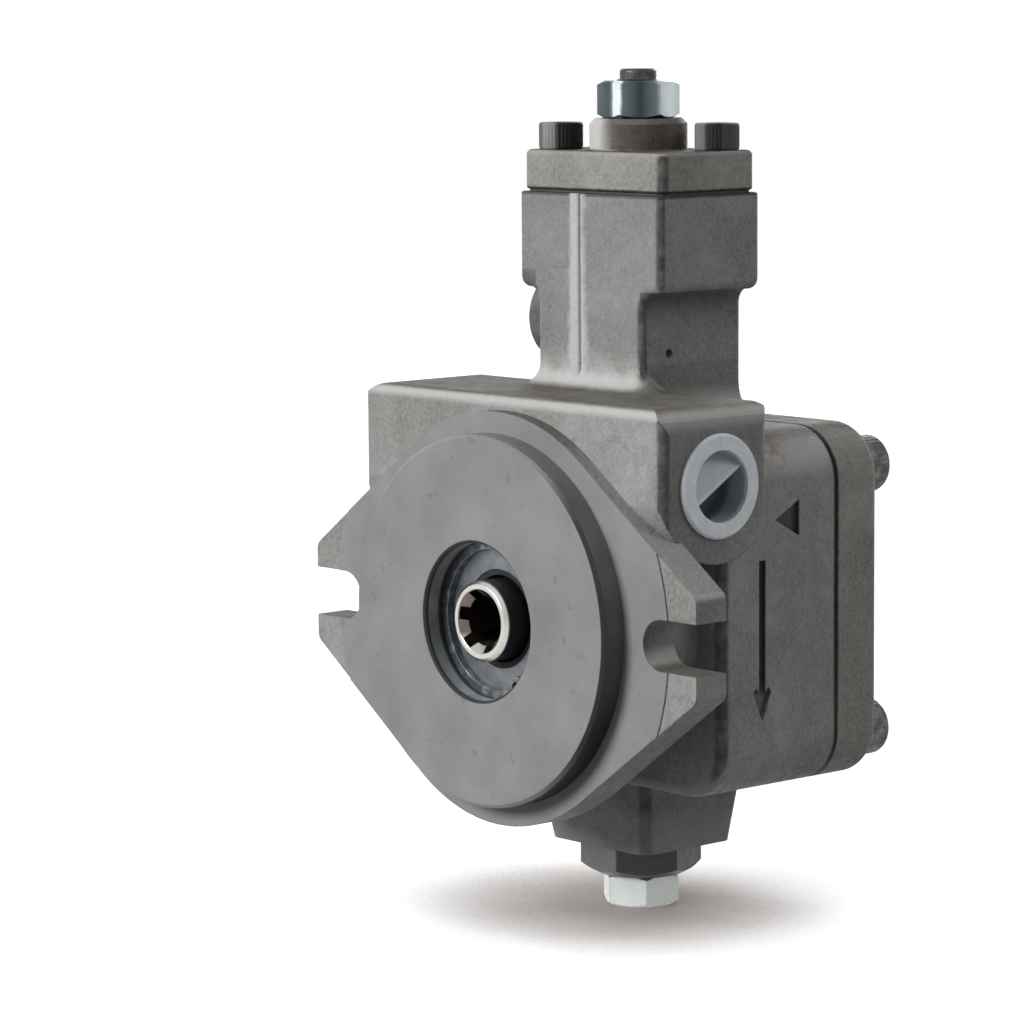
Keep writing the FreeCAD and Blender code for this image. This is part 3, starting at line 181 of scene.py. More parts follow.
# Colours of darker tops, seams, rust, skin and metal, and of painted shade, painted shadow, painted
# highlights and painted reflections
UPWARD_BROWN = (0.105, 0.096, 0.085)
EDGE_HIGHLIGHT = (0.50, 0.50, 0.49)
CORNER_REFLECTION_DARK = (0.050, 0.048, 0.046)
SEAM_BLACK = (0.022, 0.020, 0.019)
CAP_TOP_DARK = (0.062, 0.055, 0.050)
BOSS_PAINTED_SHADE = (0.085, 0.070, 0.060)
BOSS_PAINTED_HIGHLIGHT = (0.54, 0.535, 0.525)
RIDGE_FOOT_HIGHLIGHT = (0.49, 0.495, 0.485)
WALL_GREY = (0.15, 0.155, 0.153)
FOOT_DARK = (0.15, 0.147, 0.14)
STEP_PAINTED_SHADOW = (0.05, 0.048, 0.045)
DRAIN_PAINTED_SHADE = (0.085, 0.083, 0.080)
PORT_DARK = (0.07, 0.068, 0.065)
LOW_PAINTED_LIGHT = (0.44, 0.445, 0.44)
MARK_PAINTED_SHADE = (0.035, 0.032, 0.030)
RUST = (0.17, 0.095, 0.075)
PORT_INSIDE = (0.13, 0.127, 0.123)
TURNED_LIGHT = (0.265, 0.27, 0.27)
TURNED_DARK = (0.20, 0.202, 0.20)
TURNED_SPOT = (0.125, 0.125, 0.12)
PILOT_WALL_SHADE = (0.014, 0.014, 0.015)
PILOT_CHAMFER_SHADE = (0.02, 0.02, 0.021)
LINING_DARK = (0.27, 0.29, 0.30)
LINING_LIGHT = (0.38, 0.40, 0.41)
LINING_BAND = (0.02, 0.021, 0.025)
SPLINE_PAINTED_SHADE = (0.115, 0.085, 0.08)
BORE_PAINTED_SHADE = (0.075, 0.057, 0.048)
SHAFT_SIDE_SHADE = (0.030, 0.030, 0.034)
PLASTIC_SHADE = (0.20, 0.235, 0.25)

# Threads and screw heads
THREAD_PITCH = 1.5 * MM
THREAD_DEPTH = 0.55 * MM
THREAD_STEPS = 48
THREAD_R = 4.97 * MM
SCREW_NOSE = (2.3 * MM, 4.15 * MM)
HEX_SOCKET = 5 * MM
SOCKET_DEPTH = 5 * MM
KNURLS = 36
KNURL_DEPTH = 0.12 * MM

# Socket screws: radius and height of the head, radius of the shank, socket across its flats
CAP_SCREW = (5 * MM, 6 * MM, 2.97 * MM, 5 * MM)
COVER_SCREW = (6.5 * MM, 8 * MM, 3.97 * MM, 6 * MM)


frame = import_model()
nodes = frame["nodes"]


class Shader:
    """A new material with one Principled shader, and short calls for the nodes that feed it."""

    def __init__(self, name):
        self.material = bpy.data.materials.new(name)
        self.material.use_nodes = True
        self.tree = self.material.node_tree
        self.shader = self.tree.nodes["Principled BSDF"]
        place = self.tree.nodes.new("ShaderNodeTexCoord")
        self.place = place.outputs["Object"]

    def plain(self, **values):
        """Constants set on the shader's own sockets, such as Metallic=1."""
        for name, value in values.items():
            self.shader.inputs[name.replace("_", " ")].default_value = value

    def link(self, source, target):
        self.tree.links.new(source, target)

    def node(self, kind, **settings):
        made = self.tree.nodes.new("ShaderNode" + kind)
        for name, value in settings.items():
            setattr(made, name, value)
        return made

    def feed(self, socket, value):
        """A socket takes another node's output, or a constant."""
        if isinstance(value, bpy.types.NodeSocket):
            self.link(value, socket)
        else:
            socket.default_value = value

    def math(self, operation, first, second=0.0):
        made = self.node("Math", operation=operation)
        for socket, value in zip(made.inputs, (first, second)):
            self.feed(socket, value)
        return made.outputs[0]

    def times(self, first, *others):
        """The product of all the values."""
        for other in others:
            first = self.math("MULTIPLY", first, other)
        return first

    def above(self, value, limit):
        return self.math("GREATER_THAN", value, limit)

    def below(self, value, limit):
        return self.math("LESS_THAN", value, limit)

    def beyond(self, value, centre):
        """How far the value lies from the centre, on either side."""
        return self.math("ABSOLUTE", self.math("SUBTRACT", value, centre))

    def noise(self, size, detail=3.0, roughness=0.5, distortion=0.0):
        """Noise whose lumps are about size metres across."""
        made = self.node("TexNoise")
        self.link(self.place, made.inputs["Vector"])
        made.inputs["Scale"].default_value = 1 / size
        made.inputs["Detail"].default_value = detail
        made.inputs["Roughness"].default_value = roughness
        made.inputs["Distortion"].default_value = distortion
        return made.outputs["Fac"]

    def cells(self, size):
        made = self.node("TexVoronoi", feature="F1")
        self.link(self.place, made.inputs["Vector"])
        made.inputs["Scale"].default_value = 1 / size
        return made.outputs["Distance"]

    def ramp(self, value, low, high, start=0.0, end=1.0):
        """The value spread so that low gives start and high gives end, and no further."""
        made = self.node("MapRange", clamp=True)
        self.feed(made.inputs["Value"], value)
        for name, number in (("From Min", low), ("From Max", high), ("To Min", start), ("To Max", end)):
            made.inputs[name].default_value = number
        return made.outputs["Result"]

    def colours(self, share, first, second):
        """A mix of two colours. Each is a tuple or another node's output."""
        made = self.node("Mix", data_type="RGBA")
        self.feed(made.inputs["Factor"], share)
        for socket, value in ((made.inputs[6], first), (made.inputs[7], second)):
            self.feed(socket, (*value, 1) if isinstance(value, tuple) else value)
        return made.outputs[2]

    def numbers(self, share, first, second):
        made = self.node("Mix", data_type="FLOAT")
        for socket, value in zip((made.inputs[0], made.inputs[2], made.inputs[3]), (share, first, second)):
            self.feed(socket, value)
        return made.outputs[0]

    def facing_up(self, start, end):
        """From 0 to 1 as a surface leans from start to end, as the height of its normal."""
        made = self.node("NewGeometry")
        split = self.node("SeparateXYZ")
        self.link(made.outputs["Normal"], split.inputs[0])
        return self.ramp(split.outputs[2], start, end)

    def facing(self, direction, start, end):
        """From 0 to 1 as a surface turns towards a direction, by the cosine of the angle between."""
        made = self.node("NewGeometry")
        dot = self.node("VectorMath", operation="DOT_PRODUCT")
        self.link(made.outputs["Normal"], dot.inputs[0])
        dot.inputs[1].default_value = direction
        return self.ramp(dot.outputs["Value"], start, end)

    def leaning(self):
        """1 on rounded edges and feet that look partly upwards, where a painted highlight goes."""
        return self.times(self.facing_up(0.15, 0.5), self.inverse(self.facing_up(0.72, 0.9)))

    def inverse(self, share):
        return self.math("SUBTRACT", 1.0, share)

    def between(self, value, low, high):
        return self.times(self.above(value, low), self.below(value, high))

    def patchy(self, size, start, end):
        """A share that wanders between two levels, in patches of the given size."""
        return self.ramp(self.noise(size, 3), 0.3, 0.6, start, end)

    def near(self, value, middle, reach, ragged):
        """1 where the value is within reach of the middle, with an edge as ragged as stated."""
        shifted = self.math("ADD", self.beyond(value, middle), self.times(self.noise(1.6 * MM, 3), ragged))
        return self.ramp(shifted, 1.25 * reach, 0.85 * reach)

    def parts(self):
        """The X, Y and Z of the place on the object."""
        made = self.node("SeparateXYZ")
        self.link(self.place, made.inputs[0])
        return made.outputs[0], made.outputs[1], made.outputs[2]

    def distance(self, a, b, centre=(0.0, 0.0)):
        """How far the place lies from an axis that passes through centre."""
        first = self.math("SUBTRACT", a, centre[0])
        second = self.math("SUBTRACT", b, centre[1])
        squares = self.math("ADD", self.times(first, first), self.times(second, second))
        return self.math("SQRT", squares)

    def waves(self, value, step):
        """Waves along a value, one for each step."""
        return self.math("SINE", self.times(value, 2 * math.pi / step))

    def relief(self, edge, *layers):
        """Soft edges of the given radius, then bumps. A layer is (height, depth in metres)."""
        rounding = self.node("Bevel", samples=4)
        rounding.inputs["Radius"].default_value = edge
        normal = rounding.outputs["Normal"]
        for height, depth in layers:
            bump = self.node("Bump")
            self.link(height, bump.inputs["Height"])
            bump.inputs["Distance"].default_value = depth
            self.link(normal, bump.inputs["Normal"])
            normal = bump.outputs["Normal"]
        self.link(normal, self.shader.inputs["Normal"])

    def set(self, socket, value):
        self.link(value, self.shader.inputs[socket])


def cast_colour(s, light, dark):
    """Bare sand-cast iron: broad stains, mid-size mottling and a fine speckle."""
    stains = s.ramp(s.noise(30 * MM, 5, 0.62, 0.6), 0.36, 0.64)
    mottle = s.ramp(s.noise(5.5 * MM, 5, 0.68, 0.8), 0.38, 0.62)
    speckle = s.ramp(s.noise(0.9 * MM, 2, 0.5), 0.3, 0.7)
    broad = s.colours(stains, light, dark)
    mottled = s.colours(s.times(mottle, 0.6), broad, dark)
    grain = tuple(1.35 * c for c in light)
    return s.colours(s.times(speckle, 0.36), mottled, grain)


def cast_layers(s):
    """Heights of the cast skin: slow waves, lumps, sand grain and scattered pits."""
    waves = s.noise(9 * MM, 2, 0.5)
    lumps = s.noise(2.4 * MM, 3, 0.6)
    grain = s.noise(0.75 * MM, 3, 0.6)
    pits = s.ramp(s.cells(3.2 * MM), 0.05, 0.22)
    return (waves, 0.35 * MM), (lumps, 0.22 * MM), (grain, 0.13 * MM), (pits, 0.12 * MM)


def painted_light_and_seams(s, colour, highlight_share):
    """Darker brown on what faces up, a painted dark reflection on upright corners, a painted highlight on
    edges that lean upwards, and black seams.
    """
    x, y, z = s.parts()
    # Painted highlight: edges and feet that lean partly upwards are lightened towards EDGE_HIGHLIGHT.
    colour = s.colours(s.times(s.leaning(), highlight_share), colour, EDGE_HIGHLIGHT)
    # Painted dark reflection: upright corners that face DARK_SIDE are darkened towards
    # CORNER_REFLECTION_DARK.
    corners = s.times(s.facing(DARK_SIDE, 0.81, 0.93), s.patchy(3 * MM, 0.5, 0.85))
    colour = s.colours(corners, colour, CORNER_REFLECTION_DARK)
    # Faces that look up are made darker and browner, in patches.
    lying = s.times(s.facing_up(0.8, 0.97), s.ramp(s.noise(6 * MM, 4, 0.6), 0.2, 0.6, 0.55, 0.95))
    colour = s.colours(lying, colour, UPWARD_BROWN)
    rear = s.times(s.near(y, SEAM_Y, SEAM_STAIN, 0.5 * MM), s.below(z, BLOCK_TOP_Z))
    seams = s.math("MAXIMUM", rear, s.near(z, CAP_SEAM_Z, SEAM_STAIN, 0.4 * MM))
    faint = s.ramp(z, -45 * MM, 0.0, 0.5, 0.92)
    return s.colours(s.times(seams, faint), colour, SEAM_BLACK)


def cap_top_and_boss_light(s, colour):
    """A darker flat top on the cap, and on its boss under the nut a painted highlight on the left and
    painted shade on the right.
    """
    x, y, z = s.parts()
    # The flat top of the cap is made darker.
    flat = s.times(s.facing_up(0.9, 0.99), s.between(z, CAP_TOP_Z - 1 * MM, CAP_TOP_Z + 1 * MM))
    colour = s.colours(s.times(flat, 0.75), colour, CAP_TOP_DARK)
    near_axis = s.below(s.distance(x, y, (0, TOWER_Y)), CAP_BOSS_R + 0.3 * MM)
    raised = s.times(near_axis, s.above(z, CAP_TOP_Z))
    forward = s.times(s.math("SUBTRACT", y, TOWER_Y), math.cos(CAP_LIGHT_TURN))
    lean = s.math("ADD", s.times(x, math.sin(CAP_LIGHT_TURN)), forward)
    # Painted highlight on the boss's left, measured across the turn CAP_LIGHT_TURN.
    left = s.times(raised, s.ramp(lean, -5.0 * MM, -8.5 * MM, 0.0, 0.9))
    colour = s.colours(left, colour, BOSS_PAINTED_HIGHLIGHT)
    # Painted shade on the boss's right, with a ragged edge.
    right = s.ramp(s.math("ADD", lean, s.times(s.noise(3 * MM, 3), 2 * MM)), -7.0 * MM, -4.0 * MM)
    return s.colours(s.times(raised, right, 0.78), colour, BOSS_PAINTED_SHADE)


def cast_iron(name, light, dark):
    """The rear cover and the cap."""
    s = Shader(name)
    s.plain(Specular_IOR_Level=0.12)
    s.set("Base Color", cap_top_and_boss_light(s, painted_light_and_seams(s, cast_colour(s, light, dark), 0.12)))
    s.set("Roughness", s.ramp(s.noise(2.2 * MM, 3), 0.3, 0.7, 0.55, 0.78))
    s.relief(0.5 * MM, *cast_layers(s))
    return s.material


def front_highlights_and_shade(s, colour, x, y, z):
    """Painted highlights on the front of the tower, along the parting ridge and in patches on the foot, a
    greyer wall above the foot, and a dark band on the foot beside the neck.
    """
    front = s.between(y, *FRONT_WALL)
    ragged = s.times(s.math("SUBTRACT", s.noise(2.2 * MM, 3), 0.5), 2.2 * MM)
    away = s.math("ADD", s.beyond(x, RIDGE_X), ragged)
    past = s.math("SUBTRACT", away, s.ramp(z, FOOT_Z + 2 * MM, FOOT_Z + 30 * MM, *RIDGE_HALF_WIDTHS))
    ridge = s.times(s.ramp(past, 1.4 * MM, -0.6 * MM), s.ramp(z, FOOT_Z, FOOT_Z + 2 * MM))
    patches = s.ramp(s.noise(5 * MM, 5, 0.65), 0.36, 0.6, 0.15, 1.0)
    foot = s.times(s.ramp(z, FOOT_Z + 9 * MM, FOOT_Z + 2 * MM), patches)
    foot = s.times(foot, s.ramp(z, FOOT_Z + 0.1 * MM, FOOT_Z + 1.2 * MM))
    pale = s.times(s.math("MAXIMUM", ridge, foot), front)
    wall = s.times(front, s.ramp(z, FOOT_Z + 5 * MM, FOOT_Z + 12 * MM, 0.0, 0.3))
    colour = s.colours(wall, colour, WALL_GREY)
    # Painted highlight along the parting ridge and on the foot.
    colour = s.colours(s.times(pale, 0.85), colour, RIDGE_FOOT_HIGHLIGHT)
    beside = s.times(s.ramp(x, 16.5 * MM, 18.5 * MM), s.between(z, FOOT_Z + 0.1 * MM, FOOT_Z + 6 * MM))
    beside = s.times(beside, s.between(y, FRONT_WALL[0], 60 * MM), 0.85)
    return s.colours(beside, colour, FOOT_DARK)


def shaded_tower(s, colour, x, y, z):
    """Painted shadow under the tower's step, painted shade on the drain boss, the port's side darker
    towards its top, and painted light on the low boss.
    """
    beside = s.above(s.math("ABSOLUTE", x), NECK_SIDE_X)
    under = s.times(s.ramp(z, STEP_Z - 11 * MM, STEP_Z - 1 * MM), s.below(z, STEP_Z + 0.5 * MM))
    # Painted shadow under the tower's step, beside the neck.
    colour = s.colours(s.times(under, beside, 0.6), colour, STEP_PAINTED_SHADOW)
    drain = s.times(s.below(x, -NECK_SIDE_X - 0.6 * MM), s.between(z, FOOT_Z, STEP_Z + 4 * MM))
    # Painted shade on the drain boss.
    colour = s.colours(s.times(drain, s.patchy(3 * MM, 0.45, 0.8)), colour, DRAIN_PAINTED_SHADE)
    port = s.times(s.ramp(z, 20 * MM, 28 * MM), s.above(x, BLOCK_SIDE_X + 2.5 * MM), 0.3)
    colour = s.colours(port, colour, PORT_DARK)
    # Painted light that lifts the low boss under the flange.
    low = s.ramp(z, BLOCK_BOTTOM_Z, BLOCK_BOTTOM_Z - 4 * MM, 0.0, 0.3)
    return s.colours(low, colour, LOW_PAINTED_LIGHT)


def marked_skin(s, colour, x, y, z):
    """Painted shade on the floors of the sunk marks, stronger higher up, and a touch of rust above them."""
    marks = s.between(x, BLOCK_SIDE_X - MARKS_DEPTH, BLOCK_SIDE_X - 0.15 * MM)
    marks = s.times(marks, s.between(y, *MARKS_Y), s.between(z, *MARKS_Z))
    marks = s.times(marks, s.ramp(z, *MARKS_FADE, 0.3, 0.8))
    # Painted shade in the sunk marks.
    colour = s.colours(marks, colour, MARK_PAINTED_SHADE)
    rust = s.ramp(s.distance(y, z, RUST_AT), 7 * MM, 2 * MM)
    rust = s.times(rust, s.ramp(s.noise(2.5 * MM, 3), 0.35, 0.6, 0, 0.6))
    return s.colours(s.times(rust, s.above(x, RUST_X)), colour, RUST)


def turned_metal(s, y, z, from_shaft):
    """The turned flange and pilot, with painted shade on the pilot's wall, darker towards the bottom, and
    on its chamfer where it faces DARK_SIDE, and the rings of tone in its mouth.
    """
    worn = s.ramp(s.noise(16 * MM, 5, 0.6), 0.3, 0.7)
    metal = s.colours(worn, TURNED_LIGHT, TURNED_DARK)
    spots = s.ramp(s.noise(2.6 * MM, 2, 0.5), 0.66, 0.74)
    metal = s.colours(s.times(spots, 0.4), metal, TURNED_SPOT)
    wall = s.times(s.above(from_shaft, PILOT_WALL_R), s.between(y, PILOT_EDGE_Y, -0.02 * MM))
    wall = s.times(wall, s.ramp(z, *PILOT_WALL_FADE, 0.1, 0.93))
    # Painted shade on the pilot's wall, darker towards the bottom.
    metal = s.colours(wall, metal, PILOT_WALL_SHADE)
    chamfer = s.times(s.facing(DARK_SIDE, 0.72, 0.9), s.above(from_shaft, PILOT_EDGE_R), 0.9)
    # Painted shade on the pilot's chamfer where it faces DARK_SIDE.
    metal = s.colours(chamfer, metal, PILOT_CHAMFER_SHADE)
    bands = s.math("MAXIMUM", s.ramp(y, *LINING_FRONT), s.ramp(y, *LINING_BACK))
    lining = s.colours(s.ramp(s.noise(4 * MM, 3), 0.35, 0.65), LINING_DARK, LINING_LIGHT)
    lining = s.colours(s.times(bands, 0.93), lining, LINING_BAND)
    in_mouth = s.times(s.below(from_shaft, MOUTH_R), s.above(y, MOUTH_Y))
    return s.colours(in_mouth, metal, lining)


def housing_iron():
    """The body casting: cast skin, with a turned flange and pilot, and threaded ports."""
    s = Shader("housing_iron")
    s.plain(Specular_IOR_Level=0.12)
    x, y, z = s.parts()
    from_shaft = s.distance(x, z)
    turned = s.below(y, FLANGE_FACE_Y)
    machined = s.math("MAXIMUM", turned, s.below(from_shaft, SEAL_BORE_R))
    ports = s.below(s.distance(y, z, PORT_AT), PORT_BORE_R)
    inside = s.times(ports, s.below(s.math("ABSOLUTE", x), PORT_THREAD_X))

    cast = painted_light_and_seams(s, cast_colour(s, (0.31, 0.315, 0.309), (0.175, 0.171, 0.163)), 0.8)
    cast = marked_skin(s, cast, x, y, z)
    cast = front_highlights_and_shade(s, cast, x, y, z)
    cast = shaded_tower(s, cast, x, y, z)
    bare = s.colours(machined, cast, turned_metal(s, y, z, from_shaft))
    s.set("Base Color", s.colours(inside, bare, PORT_INSIDE))

    rough_cast = s.ramp(s.noise(2.2 * MM, 3), 0.3, 0.7, 0.52, 0.74)
    rough_turned = s.ramp(s.noise(7 * MM, 4), 0.3, 0.7, 0.34, 0.46)
    s.set("Roughness", s.numbers(machined, rough_cast, rough_turned))

    layers = [(s.times(height, s.inverse(machined)), depth) for height, depth in cast_layers(s)]
    layers.append((s.times(s.waves(from_shaft, 0.35 * MM), turned, 0.5), 0.004 * MM))
    layers.append((s.times(s.waves(x, PORT_THREAD_PITCH), inside), 0.5 * MM))
    s.relief(0.5 * MM, *layers)
    return s.material


def plated_steel(name, light, dark, roughness):
    """Zinc-plated steel: even and bright, with cloudy patches and handling marks."""
    s = Shader(name)
    s.plain(Metallic=1.0)
    cloud = s.ramp(s.noise(5 * MM, 4, 0.6), 0.3, 0.7)
    s.set("Base Color", s.colours(cloud, light, dark))
    s.set("Roughness", s.ramp(s.noise(1.6 * MM, 3), 0.3, 0.7, roughness, roughness + 0.14))
    s.relief(0.35 * MM, (s.noise(0.5 * MM, 2), 0.012 * MM))
    return s.material


def reflection_banded_steel(name, dark, light, bands, metallic=1.0, roughness=0.2, axis=(0, TOWER_Y), specular=0.5):
    """Steel with painted reflections: its tone changes in bands round an upright axis.

    A band is (degrees from +X, share of the light tone), and the tone runs evenly between bands.
    """
    s = Shader(name)
    s.plain(Metallic=metallic, Specular_IOR_Level=specular)
    x, y, z = s.parts()
    turn = s.math("ARCTAN2", s.math("SUBTRACT", y, axis[1]), s.math("SUBTRACT", x, axis[0]))
    share = s.math("ADD", s.math("DIVIDE", turn, 2 * math.pi), 0.5)
    shifted = s.math("ADD", share, s.times(s.math("SUBTRACT", s.noise(3 * MM, 3), 0.5), 0.012))
    tones = s.node("ValToRGB")
    s.link(shifted, tones.inputs[0])
    stops = tones.color_ramp.elements
    for i, (degrees, tone) in enumerate(bands):
        at = (degrees / 360 + 0.5) % 1.0
        stop = stops[i] if i < 2 else stops.new(at)
        stop.position = at
        stop.color = (tone, tone, tone, 1)
    level = s.times(tones.outputs[0], s.ramp(s.noise(4 * MM, 4, 0.6), 0.25, 0.6, 0.82, 1.0))
    s.set("Base Color", s.colours(level, dark, light))
    s.set("Roughness", s.ramp(s.noise(1.6 * MM, 3), 0.3, 0.7, roughness, roughness + 0.12))
    s.relief(0.35 * MM, (s.noise(0.5 * MM, 2), 0.012 * MM))
    return s.material


def dark_steel(name, light, dark, roughness):
    """Black-oxide or phosphate steel, a little paler where it was handled."""
    s = Shader(name)
    s.plain(Metallic=0.75)
    worn = s.ramp(s.noise(2.5 * MM, 5, 0.65), 0.45, 0.72)
    s.set("Base Color", s.colours(worn, dark, light))
    s.set("Roughness", s.ramp(s.noise(1.2 * MM, 3), 0.3, 0.7, roughness, roughness + 0.16))
    s.relief(0.3 * MM, (s.noise(0.45 * MM, 2), 0.02 * MM))
    return s.material


def ground_steel(name, colour, step, shaft=False):
    """Ground steel with fine marks round the shaft. On the shaft, painted shade darkens the splined bore,
    more on its upper side and further in, and the side behind the end face.
    """
    s = Shader(name)
    s.plain(Metallic=1.0)
    x, y, z = s.parts()
    from_shaft = s.distance(x, z)
    shade = s.ramp(s.noise(6 * MM, 3), 0.3, 0.7)
    base = s.colours(shade, colour, tuple(0.8 * c for c in colour))
    rough = s.ramp(s.noise(1.5 * MM, 3), 0.3, 0.7, 0.2, 0.34)
    if shaft:
        bore = s.below(from_shaft, SPLINE_R)
        teeth = s.times(bore, s.ramp(z, *SPLINE_SHADE, 0.1, 0.9))
        # Painted shade on the upper side of the splined bore.
        base = s.colours(teeth, base, SPLINE_PAINTED_SHADE)
        deep = s.times(bore, s.ramp(y, *BORE_SHADE), s.below(y, SEAM_Y))
        # Painted shade, darker deeper in the bore.
        base = s.colours(deep, base, BORE_PAINTED_SHADE)
        side_shade = s.times(s.above(from_shaft, SHAFT_FACE_R), s.ramp(y, *SHAFT_SHADE_START))
        # Painted shade on the shaft's side behind its end face.
        base = s.colours(s.times(side_shade, 0.93), base, SHAFT_SIDE_SHADE)
        rough = s.numbers(s.math("MAXIMUM", deep, side_shade), rough, 0.5)
    s.set("Base Color", base)
    s.set("Roughness", rough)
    s.relief(0.25 * MM, (s.waves(from_shaft, step), 0.003 * MM))
    return s.material


def bronze():
    s = Shader("bearing_bronze")
    s.plain(Metallic=1.0)
    tone = s.ramp(s.noise(5 * MM, 4), 0.3, 0.7)
    s.set("Base Color", s.colours(tone, (0.62, 0.43, 0.22), (0.44, 0.29, 0.15)))
    s.set("Roughness", s.ramp(s.noise(1 * MM, 3), 0.3, 0.7, 0.28, 0.42))
    s.relief(0.2 * MM, (s.noise(0.4 * MM, 2), 0.01 * MM))
    return s.material


def rubber():
    s = Shader("nitrile_rubber")
    s.plain(Specular_IOR_Level=0.15)
    tone = s.ramp(s.noise(1.5 * MM, 3), 0.3, 0.7)
    s.set("Base Color", s.colours(tone, (0.022, 0.022, 0.024), (0.04, 0.04, 0.043)))
    s.set("Roughness", s.ramp(s.noise(0.8 * MM, 2), 0.3, 0.7, 0.45, 0.62))
    s.relief(0.2 * MM, (s.noise(0.3 * MM, 2), 0.01 * MM))
    return s.material


def gasket_fibre():
    s = Shader("gasket_fibre")
    fibres = s.ramp(s.noise(0.6 * MM, 4, 0.7), 0.3, 0.7)
    s.set("Base Color", s.colours(fibres, (0.03, 0.03, 0.032), (0.075, 0.073, 0.07)))
    s.set("Roughness", s.ramp(s.noise(0.5 * MM, 2), 0.3, 0.7, 0.75, 0.9))
    s.relief(0.1 * MM, (s.noise(0.4 * MM, 3), 0.03 * MM))
    return s.material


def plug_plastic():
    """Milky polyethylene, with faint flow marks from moulding."""
    s = Shader("plug_plastic")
    s.plain(Subsurface_Weight=0.35, IOR=1.5)
    s.shader.inputs["Subsurface Radius"].default_value = (0.9, 1.0, 1.2)
    s.shader.inputs["Subsurface Scale"].default_value = 2.0 * MM
    flow = s.ramp(s.noise(5 * MM, 3, 0.5, 1.5), 0.3, 0.7)
    x, y, z = s.parts()
    tone = s.colours(flow, (0.78, 0.84, 0.90), (0.64, 0.70, 0.77))
    shade = s.math("MAXIMUM", s.ramp(x, *PLUG_RECESS_X), s.ramp(x, *PLUG_RIM_X, 0.0, 0.5))
    s.set("Base Color", s.colours(shade, tone, PLASTIC_SHADE))
    s.set("Roughness", s.ramp(s.noise(2 * MM, 2), 0.3, 0.7, 0.28, 0.4))
    s.relief(0.3 * MM, (s.noise(1.8 * MM, 2), 0.03 * MM))
    return s.material


def dress(material, *names):
    """CAD nodes take a material in all their slots."""
    for name in names:
        for slot in nodes[name].material_slots:
            slot.material = material


def new_piece(name, mesh_maker, material, body):
    """A mesh object built in bmesh by mesh_maker, which rides on a body."""
    mesh = bpy.data.meshes.new(name)
    bm = bmesh.new()
    mesh_maker(bm)
    bmesh.ops.recalc_face_normals(bm, faces=bm.faces)
    bm.to_mesh(mesh)
    bm.free()
    mesh.materials.append(material)
    piece = bpy.data.objects.new(name, mesh)
    bpy.context.scene.collection.objects.link(piece)
    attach(piece, body)
    return piece


def ring_of(bm, radii, height):
    """Vertices round the Z axis at one height, with a radius for each."""
    count = len(radii)
    made = []
    for i, radius in enumerate(radii):
        angle = 2 * math.pi * i / count
        made.append(bm.verts.new((radius * math.cos(angle), radius * math.sin(angle), height)))
    return made


def join_rings(bm, first, second):
    count = len(first)
    for i in range(count):
        following = (i + 1) % count
        bm.faces.new((first[i], first[following], second[following], second[i]))


def hexagon_radii(flats, count):
    """Radii of a hexagon at evenly spaced angles."""
    radii = []
    for i in range(count):
        angle = (2 * math.pi * i / count) % (math.pi / 3) - math.pi / 6
        radii.append(flats / 2 / math.cos(angle))
    return radii


def socket_rings(bm, outer_ring, top, flats, depth):
    """A flat end face with a six-sided socket in it, closed by a shallow cone."""
    count = len(outer_ring)
    shape = hexagon_radii(flats, count)
    lead = ring_of(bm, [1.04 * r for r in shape], top)
    rim = ring_of(bm, shape, top - 0.25 * MM)
    floor = ring_of(bm, shape, top - depth)
    join_rings(bm, outer_ring, lead)
    join_rings(bm, lead, rim)
    join_rings(bm, rim, floor)
    centre = bm.verts.new((0, 0, top - depth - flats / 5))
    for i in range(count):
        bm.faces.new((floor[i], floor[(i + 1) % count], centre))


def threaded_screw(radius, length):
    """A maker of a threaded screw from its blunt inner end to its socketed outer end."""
    edge = 0.9 * MM
    rows = round(length / THREAD_PITCH * 8)

    def make(bm):
        rings = []
        for row in range(rows + 1):
            at = length * row / rows
            limit = radius - max(edge - at, 0)
            if at > length - SCREW_NOSE[0]:
                limit = SCREW_NOSE[1] - max(at - (length - edge / 2), 0)
            radii = []
            for i in range(THREAD_STEPS):
                turn = at / THREAD_PITCH - i / THREAD_STEPS
                depth = THREAD_DEPTH * abs(2 * (turn % 1) - 1)
                radii.append(min(radius - depth, limit))
            rings.append(ring_of(bm, radii, at))
        for first, second in zip(rings, rings[1:]):
            join_rings(bm, first, second)
        bm.faces.new(rings[0][::-1])
        socket_rings(bm, rings[-1], length, HEX_SOCKET, SOCKET_DEPTH)

    return make


def screw_piece(name, node, body, inner, outer, material):
    """A threaded screw in place of a plain CAD one, upright or upside down on the tower's axis."""
    maker = threaded_screw(THREAD_R, abs(outer - inner))
    piece = new_piece(name, maker, material, body)
    turn = Matrix.Identity(4) if outer > inner else Matrix.Rotation(math.pi, 4, "X")
    piece.data.transform(Matrix.Translation((0, TOWER_Y, inner)) @ turn)
    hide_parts(node)
    return piece


